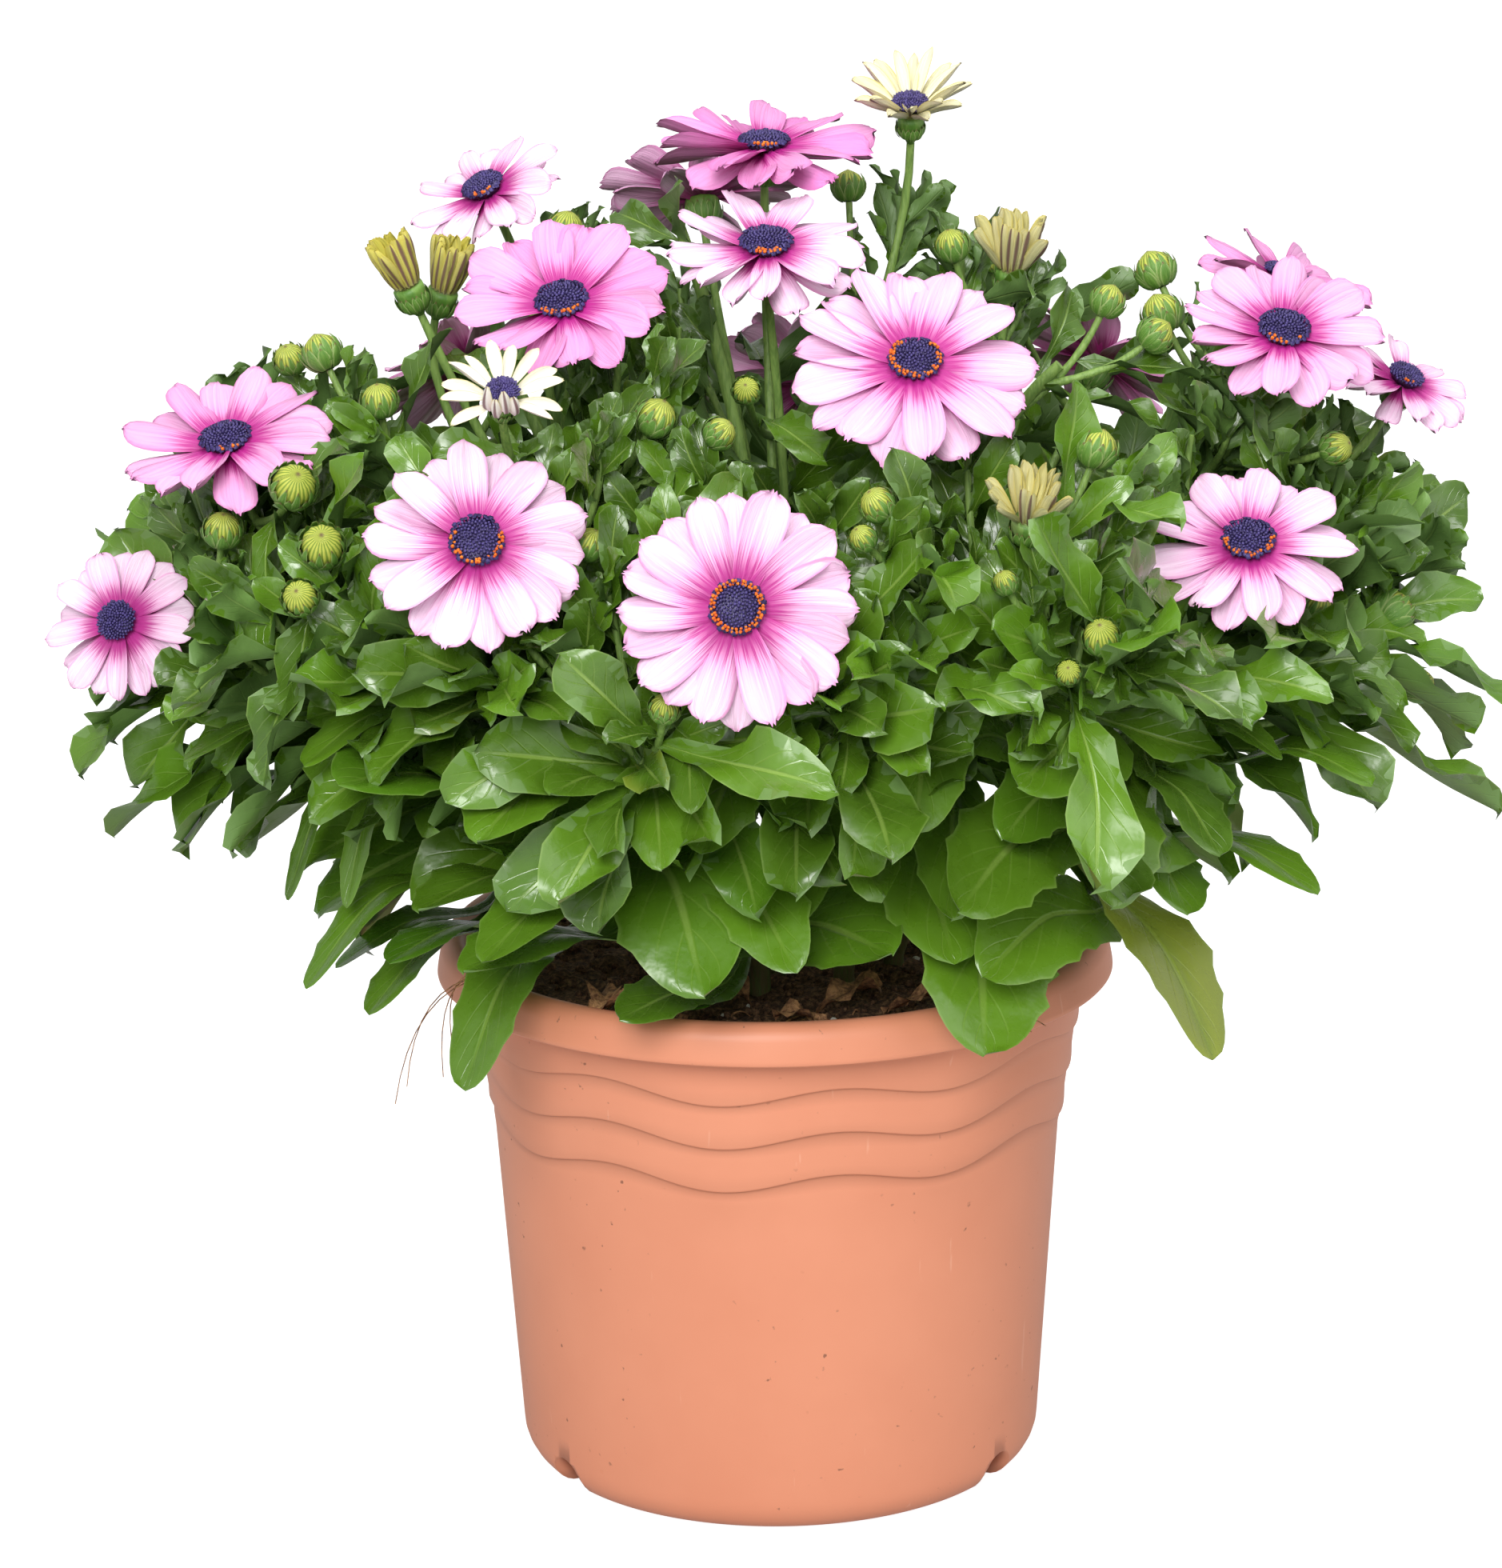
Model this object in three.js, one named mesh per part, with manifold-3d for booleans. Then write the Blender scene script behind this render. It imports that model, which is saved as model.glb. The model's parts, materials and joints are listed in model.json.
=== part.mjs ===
// A potted osteospermum: a nursery pot full of soil, leafy stems from one crown, and daisy-like
// flowers with two layers of ray petals around a dark centre.
// Millimetres, +Z up. The origin is on the pot's axis, on the surface that the pot stands on, and the
// plant's best side looks along -Y.

import * as THREE from "three";
import { mergeVertices } from "three/addons/utils/BufferGeometryUtils.js";
import Module from "manifold-3d";

const wasm = await Module();
wasm.setup();

// ------------------------------------------------------------------ driving dimensions

const GAP = 0.3; // running gap between pieces that touch
const CLEARANCE = 0.35; // room that stems and leaves of different stems leave each other

const POT = {
  sides: 32,
  height: 137.5,
  lipInner: 78.5,
  lipOuter: 81,
  collarTop: { radius: 84, height: 134.3 },
  ledge: { radius: 85, height: 128.1 },
  wallUnderLedge: 78,
  wall: 1.5,
  coneRadiusAtBase: 66.9,
  coneBase: 21.3,
  coneSlope: 0.0675,
  waveHeights: [94, 105.5, 117],
  waveStep: 1.05,
  waveSwing: 2,
  waves: 8,
  waveCrestAt: 11,
  footHeight: 9,
  footContact: 58,
  discRadius: 40,
  channelHeight: 10,
  notchWidth: 12.5,
  notchHeight: 9.5,
  notchAzimuths: [-56, 56, 180],
  drainRadius: 4.5,
  drainRing: 51,
  drains: 4,
  innerTop: 126, // height and radius at which the inside meets the lip's slope
  innerMouth: 72.5,
  waveBevel: 0.35,
  ledgeEdge: 0.8,
  contactWidth: 0.4,
};

const SOIL_TOP = 129.5;
const SOIL_RINGS = [34, 58];
const SOIL_ROUGHNESS = 1.3;

const TRUNK_RADIUS = 2.9;
const SHOOT_RADIUS = 1.75;
const STALK_RADIUS = 1.25;
const BUD_STALK_RADIUS = 1.0;
const HOLE_ROOM = 1.2; // a hole is this much wider than its stem
const HOLE_DEPTH = 16;

const BLADE = 0.9; // thickness of leaves and petals at the middle
const DISC_RADIUS = 6.7;
const HUB_RADIUS = 4.4;
const SHUT_HUB_RADIUS = 3.6;

// ------------------------------------------------------------------ the plant's plan
// Places are [x, y, z]. An azimuth turns from the front (-Y) towards +X, and an elevation rises from the
// horizon, both in degrees.

// Open flowers: where the middle is, which way it looks, its width with its petals laid flat, and how
// far they rise.
const FLOWERS = [
  { name: "front", at: [-8, -118, 247], look: [0, 23], width: 57, petals: 10, lift: 4 },
  { name: "front_left", at: [-67, -98, 258], look: [4, 37], width: 54, petals: 9, lift: 4 },
  { name: "mid_right", at: [34, -62, 291], look: [2, 51], width: 61, petals: 9, lift: 8 },
  { name: "mid_left", at: [-48, -45, 303], look: [-8, 57], width: 54, petals: 8, lift: 16 },
  { name: "center_top", at: [0, -28, 313], look: [2, 66], width: 50, petals: 9, lift: 6 },
  { name: "top", at: [0, 12, 331], look: [4, 80], width: 57, petals: 9, lift: 10 },
  { name: "far_top_left", at: [-68, 15, 321], look: [-42, 58], width: 41, petals: 8, lift: 10 },
  { name: "left", at: [-129, -35, 269], look: [-16, 64], width: 54, petals: 8, lift: 12 },
  { name: "far_left", at: [-157, -30, 225], look: [-19, 27], width: 40, petals: 9, lift: 4 },
  { name: "right", at: [112, -62, 247], look: [-2, 55], width: 52, petals: 9, lift: 5 },
  { name: "upper_right", at: [124, -18, 289], look: [9, 57], width: 52, petals: 8, lift: 12 },
  { name: "far_right", at: [157, 13, 271], look: [45, 59], width: 37, petals: 8, lift: 4 },
  { name: "behind_right", at: [131, 50, 290], look: [66, 68], width: 48, petals: 8, lift: 12 },
  { name: "back_left", at: [-78, 92, 264], look: [215, 42], width: 54, petals: 8, lift: 6 },
  { name: "back", at: [12, 118, 254], look: [176, 32], width: 56, petals: 9, lift: 5 },
  { name: "back_right", at: [88, 96, 262], look: [140, 46], width: 52, petals: 8, lift: 8 },
  { name: "back_top", at: [-16, 66, 312], look: [190, 62], width: 54, petals: 8, lift: 10 },
];

// Young flowers: narrow petals that rise and curl in; a closed one shows no centre.
const YOUNG_FLOWERS = [
  { name: "young_left", at: [-61, -84, 289], look: [4, 46], width: 31, petals: 8, lift: 12, curl: 4 },
  { name: "young_top", at: [36, 20, 339], look: [-1, 66], width: 36, petals: 9, lift: 38, curl: 0 },
  { name: "half_open_top", at: [60, 5, 303], look: [20, 72], width: 35, petals: 8, lift: 70, curl: 8 },
  { name: "half_open_right", at: [59, -88, 261], look: [8, 62], width: 32, petals: 8, lift: 66, curl: 12 },
  { name: "closing_left", at: [-86, -24, 306], look: [-60, 66], width: 33, petals: 8, lift: 74, curl: 12 },
  { name: "closing_right", at: [-78, -7, 302], look: [50, 68], width: 33, petals: 8, lift: 74, curl: 12 },
];
const SHUT = 45; // petals that rise more steeply than this hide the centre

// Leafy stems: the foot in the soil, the fork above it, and what its shoots carry. A bud is
// [x, y, z, diameter]; a tip is the end of a leafy shoot.
const STEMS = [
  {
    name: "front",
    foot: [-4, -30],
    fork: [-7, -46, 178],
    flowers: ["front"],
    buds: [[-25, -116, 225, 7]],
    tips: [[-31, -96, 206], [17, -90, 212]],
  },
  {
    name: "front_left",
    foot: [-20, -22],
    fork: [-36, -46, 180],
    flowers: ["front_left", "young_left"],
    buds: [[-43, -86, 256, 8], [-28, -78, 284, 9.2], [-14, -80, 281, 7.4]],
    tips: [[-62, -76, 222], [-84, -72, 214]],
  },
  {
    name: "left",
    foot: [-29, -6],
    fork: [-60, -22, 178],
    flowers: ["left", "far_left"],
    buds: [[-113, -55, 266, 10.6], [-104, -75, 256, 10.1], [-130, -50, 253, 8.8], [-108, -85, 246, 8.1]],
    tips: [[-118, -30, 208], [-140, -22, 218]],
  },
  {
    name: "upper_left",
    foot: [-14, -8],
    fork: [-40, -16, 205],
    flowers: ["mid_left", "closing_left", "closing_right"],
    buds: [[-105, -25, 290, 9.2], [-91, -50, 283, 8.5]],
    tips: [[-90, -40, 262]],
  },
  {
    name: "left_back",
    foot: [-28, 11],
    fork: [-46, 22, 205],
    flowers: ["far_top_left"],
    buds: [[-50, 8, 314, 8.6], [-115, -8, 286, 7.8]],
    tips: [[-104, 30, 248]],
  },
  {
    name: "top",
    foot: [0, -14],
    fork: [2, -10, 215],
    flowers: ["center_top", "top", "young_top"],
    buds: [[21, 34, 319, 8], [-5, -62, 288, 6.3]],
    tips: [[-22, -2, 318]],
  },
  {
    name: "mid_right",
    foot: [14, -8],
    fork: [26, -22, 205],
    flowers: ["mid_right", "half_open_top"],
    buds: [[46, -2, 310, 8.2], [80, -20, 299, 8.1], [90, -22, 292, 8.5]],
    tips: [[70, -24, 284]],
  },
  {
    name: "front_right",
    foot: [17, -26],
    fork: [34, -48, 184],
    flowers: ["half_open_right"],
    buds: [[74, -75, 274, 9.3], [26, -100, 268, 8], [22, -104, 261, 6.2], [54, -101, 249, 5.8],
      [75, -105, 238, 8.4], [67, -109, 231, 5.8]],
    tips: [[86, -98, 232]],
  },
  {
    name: "right",
    foot: [30, -12],
    fork: [64, -32, 176],
    flowers: ["right"],
    buds: [[128, -45, 229, 8.1], [148, -22, 224, 10.2], [154, -22, 206, 8.3]],
    tips: [[124, -44, 214]],
  },
  {
    name: "upper_right",
    foot: [29, 8],
    fork: [60, 2, 195],
    flowers: ["upper_right", "far_right"],
    buds: [[97, 6, 302, 9.5], [98, -4, 293, 9.8], [134, -22, 265, 7.8]],
    tips: [[112, 4, 262]],
  },
  {
    name: "back_right",
    foot: [18, 24],
    fork: [42, 38, 186],
    flowers: ["behind_right", "back_right"],
    buds: [[62, 74, 292, 8.5]],
    tips: [[108, 68, 226]],
  },
  {
    name: "back",
    foot: [0, 28],
    fork: [4, 50, 184],
    flowers: ["back", "back_top"],
    buds: [[40, 96, 276, 9]],
    tips: [[34, 112, 216], [-20, 100, 222]],
  },
  {
    name: "back_left",
    foot: [-18, 26],
    fork: [-42, 44, 186],
    flowers: ["back_left"],
    buds: [[-112, 66, 250, 9]],
    tips: [[-98, 68, 222], [-72, 56, 276]],
  },
];

// Large leaves low on the plant: the leaf's own base and tip, its width, and how far it sags between.
const LARGE_LEAVES = [
  { base: [-62, -72, 190], tip: [-100, -104, 203], width: 27, sag: -5 },
  { base: [-44, -80, 202], tip: [-68, -113, 192], width: 20, sag: -4 },
  { base: [-33, -90, 198], tip: [-51, -115, 204], width: 13, sag: -3 },
  { base: [-28, -88, 202], tip: [-26, -120, 187], width: 13, sag: -4 },
  { base: [-20, -90, 214], tip: [-19, -124, 201], width: 10, sag: -4 },
  { base: [-50, -54, 166], tip: [-83, -96, 171], width: 19, sag: -5 },
  { base: [-34, -60, 172], tip: [-68, -103, 164], width: 18, sag: -6 },
  { base: [-38, -54, 152], tip: [-73, -95, 156], width: 19, sag: -4 },
  { base: [-30, -62, 178], tip: [-17, -104, 152], width: 27, sag: -7 },
  { base: [-20, -62, 178], tip: [-1, -106, 157], width: 18, sag: -6 },
  { base: [-8, -52, 152], tip: [27, -94, 158], width: 25, sag: -5 },
  { base: [-54, -48, 147], tip: [-75, -80, 122], width: 15, sag: -10 },
  { base: [-12, -60, 141], tip: [-37, -93, 143], width: 11, sag: -2 },
  { base: [-76, -40, 166], tip: [-112, -72, 145], width: 11, sag: -8 },
  { base: [-70, -26, 152], tip: [-107, -44, 141], width: 11, sag: -4 },
  { base: [-62, -40, 152], tip: [-92, -70, 150], width: 14, sag: -4 },
  { base: [-70, -34, 150], tip: [-98, -62, 135], width: 12, sag: -6 },
  { base: [-98, -36, 190], tip: [-117, -58, 163], width: 9, sag: -10 },
  { base: [-92, -42, 190], tip: [-102, -66, 163], width: 9, sag: -8 },
  { base: [-104, -42, 203], tip: [-140, -60, 198], width: 10, sag: -5 },
  { base: [-80, -64, 212], tip: [-109, -90, 205], width: 14, sag: -4 },
  { base: [38, -68, 216], tip: [32, -104, 190], width: 19, sag: -6 },
  { base: [62, -64, 196], tip: [42, -91, 208], width: 14, sag: -4 },
  { base: [72, -62, 190], tip: [53, -88, 184], width: 15, sag: -4 },
  { base: [79, -78, 203], tip: [55, -112, 203], width: 20, sag: -5 },
  { base: [70, -56, 178], tip: [42, -103, 171], width: 22, sag: -6 },
  { base: [80, -72, 196], tip: [77, -111, 174], width: 20, sag: -6 },
  { base: [80, -46, 156], tip: [48, -90, 151], width: 21, sag: -5 },
  { base: [48, -50, 154], tip: [49, -92, 133], width: 24, sag: -9 },
  { base: [28, -42, 184], tip: [33, -88, 148], width: 28, sag: -7 },
  { base: [42, -54, 190], tip: [41, -92, 166], width: 17, sag: -5 },
  { base: [88, -50, 176], tip: [127, -84, 168], width: 17, sag: -5 },
  { base: [106, -58, 194], tip: [140, -80, 194], width: 19, sag: -5 },
  { base: [80, -42, 160], tip: [104, -72, 124], width: 19, sag: -6 },
  { base: [86, -52, 178], tip: [100, -80, 160], width: 19, sag: -4 },
  { base: [88, -70, 196], tip: [103, -97, 182], width: 16, sag: -4 },
  { base: [98, -66, 208], tip: [118, -84, 201], width: 10, sag: -3 },
  { base: [10, -50, 188], tip: [3, -89, 168], width: 17, sag: -5 },
  { base: [-5, -72, 202], tip: [-17, -105, 186], width: 17, sag: -5 },
  { base: [-12, -80, 197], tip: [10, -114, 212], width: 13, sag: -5 },
  { base: [72, -90, 217], tip: [50, -111, 240], width: 16, sag: -4 },
  { base: [78, -86, 214], tip: [98, -110, 221], width: 17, sag: -4 },
  { base: [126, -26, 236], tip: [156, -42, 248], width: 11, sag: -3 },
  { base: [-62, 60, 178], tip: [-100, 92, 166], width: 22, sag: -6 },
  { base: [-30, 66, 172], tip: [-44, 108, 158], width: 24, sag: -7 },
  { base: [-58, 38, 158], tip: [-98, 62, 144], width: 20, sag: -6 },
  { base: [2, 64, 168], tip: [4, 108, 152], width: 24, sag: -7 },
  { base: [22, 62, 190], tip: [28, 108, 178], width: 20, sag: -6 },
  { base: [46, 58, 170], tip: [66, 98, 154], width: 23, sag: -7 },
  { base: [60, 46, 186], tip: [100, 80, 178], width: 20, sag: -6 },
  { base: [70, 26, 162], tip: [112, 42, 146], width: 20, sag: -6 },
  { base: [-70, 12, 166], tip: [-112, 18, 150], width: 18, sag: -6 },
  { base: [74, -2, 172], tip: [118, -6, 160], width: 19, sag: -6 },
];

// Small leaves, at the bottom and at the top of the plant.
const LOW_LEAF = { length: 52, width: 21 };
const HIGH_LEAF = { length: 27, width: 11.5 };
const LEAF_RANGE = { low: 170, high: 310 }; // heights between which leaves shrink

// ------------------------------------------------------------------ small tools

const radians = THREE.MathUtils.degToRad;
const vec = (x, y, z) => new THREE.Vector3(x, y, z);
const UP = vec(0, 0, 1);

// A repeatable draw between 0 and 1 for a pair of whole numbers.
function draw(first, second) {
  const mixed = Math.sin(first * 127.1 + second * 311.7 + 7.3) * 43758.5453;
  return mixed - Math.floor(mixed);
}

function facing([azimuth, elevation]) {
  const flat = Math.cos(radians(elevation));
  const turn = radians(azimuth);
  return vec(Math.sin(turn) * flat, -Math.cos(turn) * flat, Math.sin(radians(elevation)));
}

// Closed solid from a three.js geometry: only positions stay, shared corners are merged, and
// triangles that a pole has squeezed flat are dropped.
function toSolid(geometry) {
  const bare = geometry.clone();
  bare.deleteAttribute("normal");
  bare.deleteAttribute("uv");
  const merged = mergeVertices(bare, 1e-4);
  const corners = merged.index.array;
  const kept = [];
  for (let i = 0; i < corners.length; i += 3) {
    const [a, b, c] = [corners[i], corners[i + 1], corners[i + 2]];
    if (a !== b && b !== c && c !== a) kept.push(a, b, c);
  }
  const points = merged.attributes.position.array;
  if (signedVolume(points, kept) < 0) kept.reverse();
  const mesh = new wasm.Mesh({
    numProp: 3,
    vertProperties: new Float32Array(points),
    triVerts: new Uint32Array(kept),
  });
  return new wasm.Manifold(mesh);
}

function signedVolume(points, corners) {
  const at = (i) => vec(points[3 * i], points[3 * i + 1], points[3 * i + 2]);
  let sum = 0;
  for (let i = 0; i < corners.length; i += 3) {
    sum += at(corners[i]).dot(at(corners[i + 1]).cross(at(corners[i + 2])));
  }
  return sum / 6;
}

// Slivers that a join leaves along its seam are closed up to the first of these sizes that leaves
// every edge between just two faces.
const SEAM_SIZES = [0.05, 0.08, 0.03, 0.12, 0.015, 0.2];

// Drawable geometry of the largest body of a solid.
function toGeometry(solid) {
  const body = solid.decompose().sort((a, b) => b.volume() - a.volume())[0].asOriginal();
  const meshes = SEAM_SIZES.map((size) => () => body.simplify(size).getMesh());
  const tidy = meshes.find((make) => hasPlainEdges(make())) ?? meshes[0];
  const mesh = tidy();
  const geometry = new THREE.BufferGeometry();
  geometry.setAttribute("position", new THREE.BufferAttribute(new Float32Array(mesh.vertProperties), 3));
  geometry.setIndex(new THREE.BufferAttribute(new Uint32Array(mesh.triVerts), 1));
  geometry.computeVertexNormals();
  return geometry;
}

// Whether every edge, told by the places of its ends, lies between exactly two faces.
function hasPlainEdges({ vertProperties, triVerts }) {
  const place = (i) => [0, 1, 2].map((axis) => Math.round(vertProperties[3 * i + axis] * 1e3)).join();
  const uses = new Map();
  for (let i = 0; i < triVerts.length; i += 3) {
    const places = [place(triVerts[i]), place(triVerts[i + 1]), place(triVerts[i + 2])];
    places.forEach((here, k) => {
      const edge = [here, places[(k + 1) % 3]].sort().join(" ");
      uses.set(edge, (uses.get(edge) ?? 0) + 1);
    });
  }
  return [...uses.values()].every((count) => count === 2);
}

// Geometry strung through rings with the same number of corners, capped at the first ring and closed
// at a point.
function loft(rings, tip) {
  const positions = [];
  const index = [];
  const count = rings[0].length;
  rings.forEach((ring) => ring.forEach((corner) => positions.push(corner.x, corner.y, corner.z)));
  positions.push(tip.x, tip.y, tip.z);
  const tipIndex = rings.length * count;
  for (let i = 2; i < count; i += 1) index.push(0, i, i - 1);
  for (let ring = 0; ring + 1 < rings.length; ring += 1) {
    for (let i = 0; i < count; i += 1) {
      const here = ring * count + i;
      const next = ring * count + ((i + 1) % count);
      index.push(here, next, next + count, here, next + count, here + count);
    }
  }
  for (let i = 0; i < count; i += 1) {
    const here = tipIndex - count + i;
    const next = tipIndex - count + ((i + 1) % count);
    index.push(here, next, tipIndex);
  }
  const geometry = new THREE.BufferGeometry();
  geometry.setAttribute("position", new THREE.Float32BufferAttribute(positions, 3));
  geometry.setIndex(index);
  return geometry;
}

function lathe(profile, sides) {
  const points = profile.map(([radius, height]) => new THREE.Vector2(radius, height));
  const geometry = new THREE.LatheGeometry(points, sides);
  geometry.rotateX(Math.PI / 2);
  return geometry;
}

// Tube along a curve: a polygon swept with an extrude path, closed at both ends.
function tube(curve, radius, sides, steps) {
  const section = new THREE.Shape();
  for (let i = 0; i < sides; i += 1) {
    const turn = (2 * Math.PI * i) / sides;
    const point = [radius * Math.cos(turn), radius * Math.sin(turn)];
    if (i === 0) section.moveTo(...point);
    else section.lineTo(...point);
  }
  section.closePath();
  return new THREE.ExtrudeGeometry(section, { steps, extrudePath: curve, bevelEnabled: false });
}

// ------------------------------------------------------------------ what is already in place
// Every solid that is placed is kept here with its node and box, so that what comes later can be
// bent clear of other nodes.

const placed = [];

function record(node, solid, isLeaf = false) {
  placed.push({ node, solid, isLeaf, box: solid.boundingBox() });
  return solid;
}

function boxesMeet(a, b) {
  return [0, 1, 2].every((axis) => a.min[axis] <= b.max[axis] && b.min[axis] <= a.max[axis]);
}

// A leaf also stays clear of its own node's other leaves; only stems may run into their own node.
function isClear(node, solid, isLeaf = false) {
  const box = solid.boundingBox();
  return placed.every((other) => {
    const mayTouch = other.node === node && !(isLeaf && other.isLeaf);
    if (mayTouch || !boxesMeet(box, other.box)) return true;
    return solid.intersect(other.solid).isEmpty();
  });
}

// ------------------------------------------------------------------ pot

function wallRadius(height) {
  const steps = POT.waveHeights.filter((wave) => height > wave).length;
  return POT.coneRadiusAtBase + (height - POT.coneBase) * POT.coneSlope + steps * POT.waveStep;
}

function footArc() {
  const reach = wallRadius(POT.footHeight) - POT.footContact;
  return [0, 0.45, 1].map((part) => {
    const turn = (part * Math.PI) / 2;
    return [POT.footContact + reach * Math.sin(turn), POT.footHeight * (1 - Math.cos(turn))];
  });
}

function potOutside() {
  const profile = footArc();
  POT.waveHeights.forEach((wave) => {
    profile.push([wallRadius(wave), wave - POT.waveBevel]);
    profile.push([wallRadius(wave + 1), wave + POT.waveBevel]);
  });
  profile.push([POT.wallUnderLedge, POT.ledge.height - POT.ledgeEdge]);
  profile.push([POT.ledge.radius, POT.ledge.height]);
  profile.push([POT.collarTop.radius, POT.collarTop.height]);
  profile.push([POT.lipOuter, POT.height]);
  profile.push([POT.lipInner, POT.height]);
  return profile;
}

function potInside() {
  const floor = POT.channelHeight + POT.wall;
  const plug = POT.discRadius - POT.wall;
  return [
    [POT.innerMouth, POT.innerTop],
    [wallRadius(floor) - POT.wall, floor],
    [plug, floor],
    [plug, POT.wall],
    [0, POT.wall],
  ];
}

function potUnderside() {
  return [
    [0, 0],
    [POT.discRadius, 0],
    [POT.discRadius, POT.channelHeight],
    [wallRadius(POT.channelHeight) - POT.wall, POT.channelHeight],
    [POT.footContact - POT.contactWidth, POT.wall],
    [POT.footContact - POT.contactWidth, 0],
  ];
}

// The rings near each wave height ride up and down around the pot.
function rippleWaves(geometry) {
  const position = geometry.attributes.position;
  for (let i = 0; i < position.count; i += 1) {
    const point = new THREE.Vector3().fromBufferAttribute(position, i);
    const radius = Math.hypot(point.x, point.y);
    const nearWave = POT.waveHeights.some((wave) => Math.abs(point.z - wave) < 2 * POT.waveBevel);
    const onOutside = radius > wallRadius(point.z) - POT.wall;
    if (nearWave && onOutside) {
      const azimuth = Math.atan2(point.x, -point.y) - radians(POT.waveCrestAt);
      position.setZ(i, point.z + POT.waveSwing * Math.cos(POT.waves * azimuth));
    }
  }
  return geometry;
}

function potSolid() {
  const profile = [...potUnderside(), ...potOutside(), ...potInside()];
  let solid = toSolid(rippleWaves(lathe(profile, POT.sides)));
  POT.notchAzimuths.forEach((azimuth) => {
    solid = solid.subtract(toSolid(notchCutter(azimuth)));
  });
  for (let i = 0; i < POT.drains; i += 1) {
    solid = solid.subtract(toSolid(drainCutter((360 * (i + 0.5)) / POT.drains)));
  }
  return solid;
}

const CUT_PAST = 6; // cutters run this far past what they cut

// An arch with a round top, swept outwards through the foot.
function notchCutter(azimuth) {
  const half = POT.notchWidth / 2;
  const spring = POT.notchHeight - half;
  const arch = new THREE.Shape();
  arch.moveTo(-half, -CUT_PAST);
  arch.lineTo(half, -CUT_PAST);
  arch.lineTo(half, spring);
  [45, 90, 135].forEach((turn) => {
    arch.lineTo(half * Math.cos(radians(turn)), spring + half * Math.sin(radians(turn)));
  });
  arch.lineTo(-half, spring);
  const length = wallRadius(POT.footHeight) - POT.footContact + 2 * CUT_PAST;
  const geometry = new THREE.ExtrudeGeometry(arch, { depth: length, bevelEnabled: false });
  geometry.rotateX(Math.PI / 2);
  geometry.translate(0, -POT.footContact + CUT_PAST, 0);
  geometry.rotateZ(radians(azimuth));
  return geometry;
}

function drainCutter(azimuth) {
  const geometry = new THREE.CylinderGeometry(POT.drainRadius, POT.drainRadius, CUT_PAST, 8);
  geometry.rotateX(Math.PI / 2);
  geometry.translate(0, -POT.drainRing, POT.channelHeight + POT.wall / 2);
  geometry.rotateZ(radians(azimuth));
  return geometry;
}

// ------------------------------------------------------------------ soil

function soilSolid() {
  const floor = POT.channelHeight + POT.wall;
  const inside = POT.wall + GAP;
  const topRadius = POT.innerMouth - GAP;
  const profile = [
    [0, POT.wall + GAP],
    [POT.discRadius - inside, POT.wall + GAP],
    [POT.discRadius - inside, floor + GAP],
    [wallRadius(floor) - inside, floor + GAP],
    [topRadius, POT.innerTop],
    [topRadius, SOIL_TOP - 1],
    ...[...SOIL_RINGS].reverse().map((radius) => [radius, SOIL_TOP]),
    [0, SOIL_TOP],
  ];
  let solid = toSolid(roughenTop(lathe(profile, POT.sides / 2)));
  STEMS.forEach((stem) => {
    solid = solid.subtract(toSolid(stemHole(stem.foot)));
  });
  return solid;
}

// Crumbs and dips: two wave patterns over the top of the soil.
function roughenTop(geometry) {
  const position = geometry.attributes.position;
  for (let i = 0; i < position.count; i += 1) {
    const [x, y, z] = [position.getX(i), position.getY(i), position.getZ(i)];
    const fromAxis = Math.hypot(x, y);
    if (z > SOIL_TOP - 0.5 && fromAxis > 1) {
      const broad = Math.sin(x * 0.31 + 1.7) * Math.cos(y * 0.27);
      const fine = 0.6 * Math.sin((x + y) * 0.53);
      position.setZ(i, z + SOIL_ROUGHNESS * (broad + fine));
    }
  }
  return geometry;
}

function stemHole([x, y]) {
  const radius = TRUNK_RADIUS + HOLE_ROOM;
  const depth = HOLE_DEPTH + GAP;
  const geometry = new THREE.CylinderGeometry(radius, radius, depth + CUT_PAST, 6);
  geometry.rotateX(Math.PI / 2);
  geometry.translate(x, y, SOIL_TOP + (CUT_PAST - depth) / 2);
  return geometry;
}

// ------------------------------------------------------------------ flowers

// A petal's ring corners at one place along it: left edge, right edge and the ridge on its upper side.
function petalRing(turn, radius, height, half, ridge, slope) {
  const along = vec(Math.cos(turn), Math.sin(turn), 0);
  const across = vec(-Math.sin(turn), Math.cos(turn), 0);
  const middle = along.clone().multiplyScalar(radius).setZ(height);
  const crest = middle.clone().addScaledVector(along, -ridge * Math.sin(slope));
  return [
    middle.clone().addScaledVector(across, -half),
    middle.clone().addScaledVector(across, half),
    crest.setZ(height + ridge * Math.cos(slope)),
  ];
}

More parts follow.
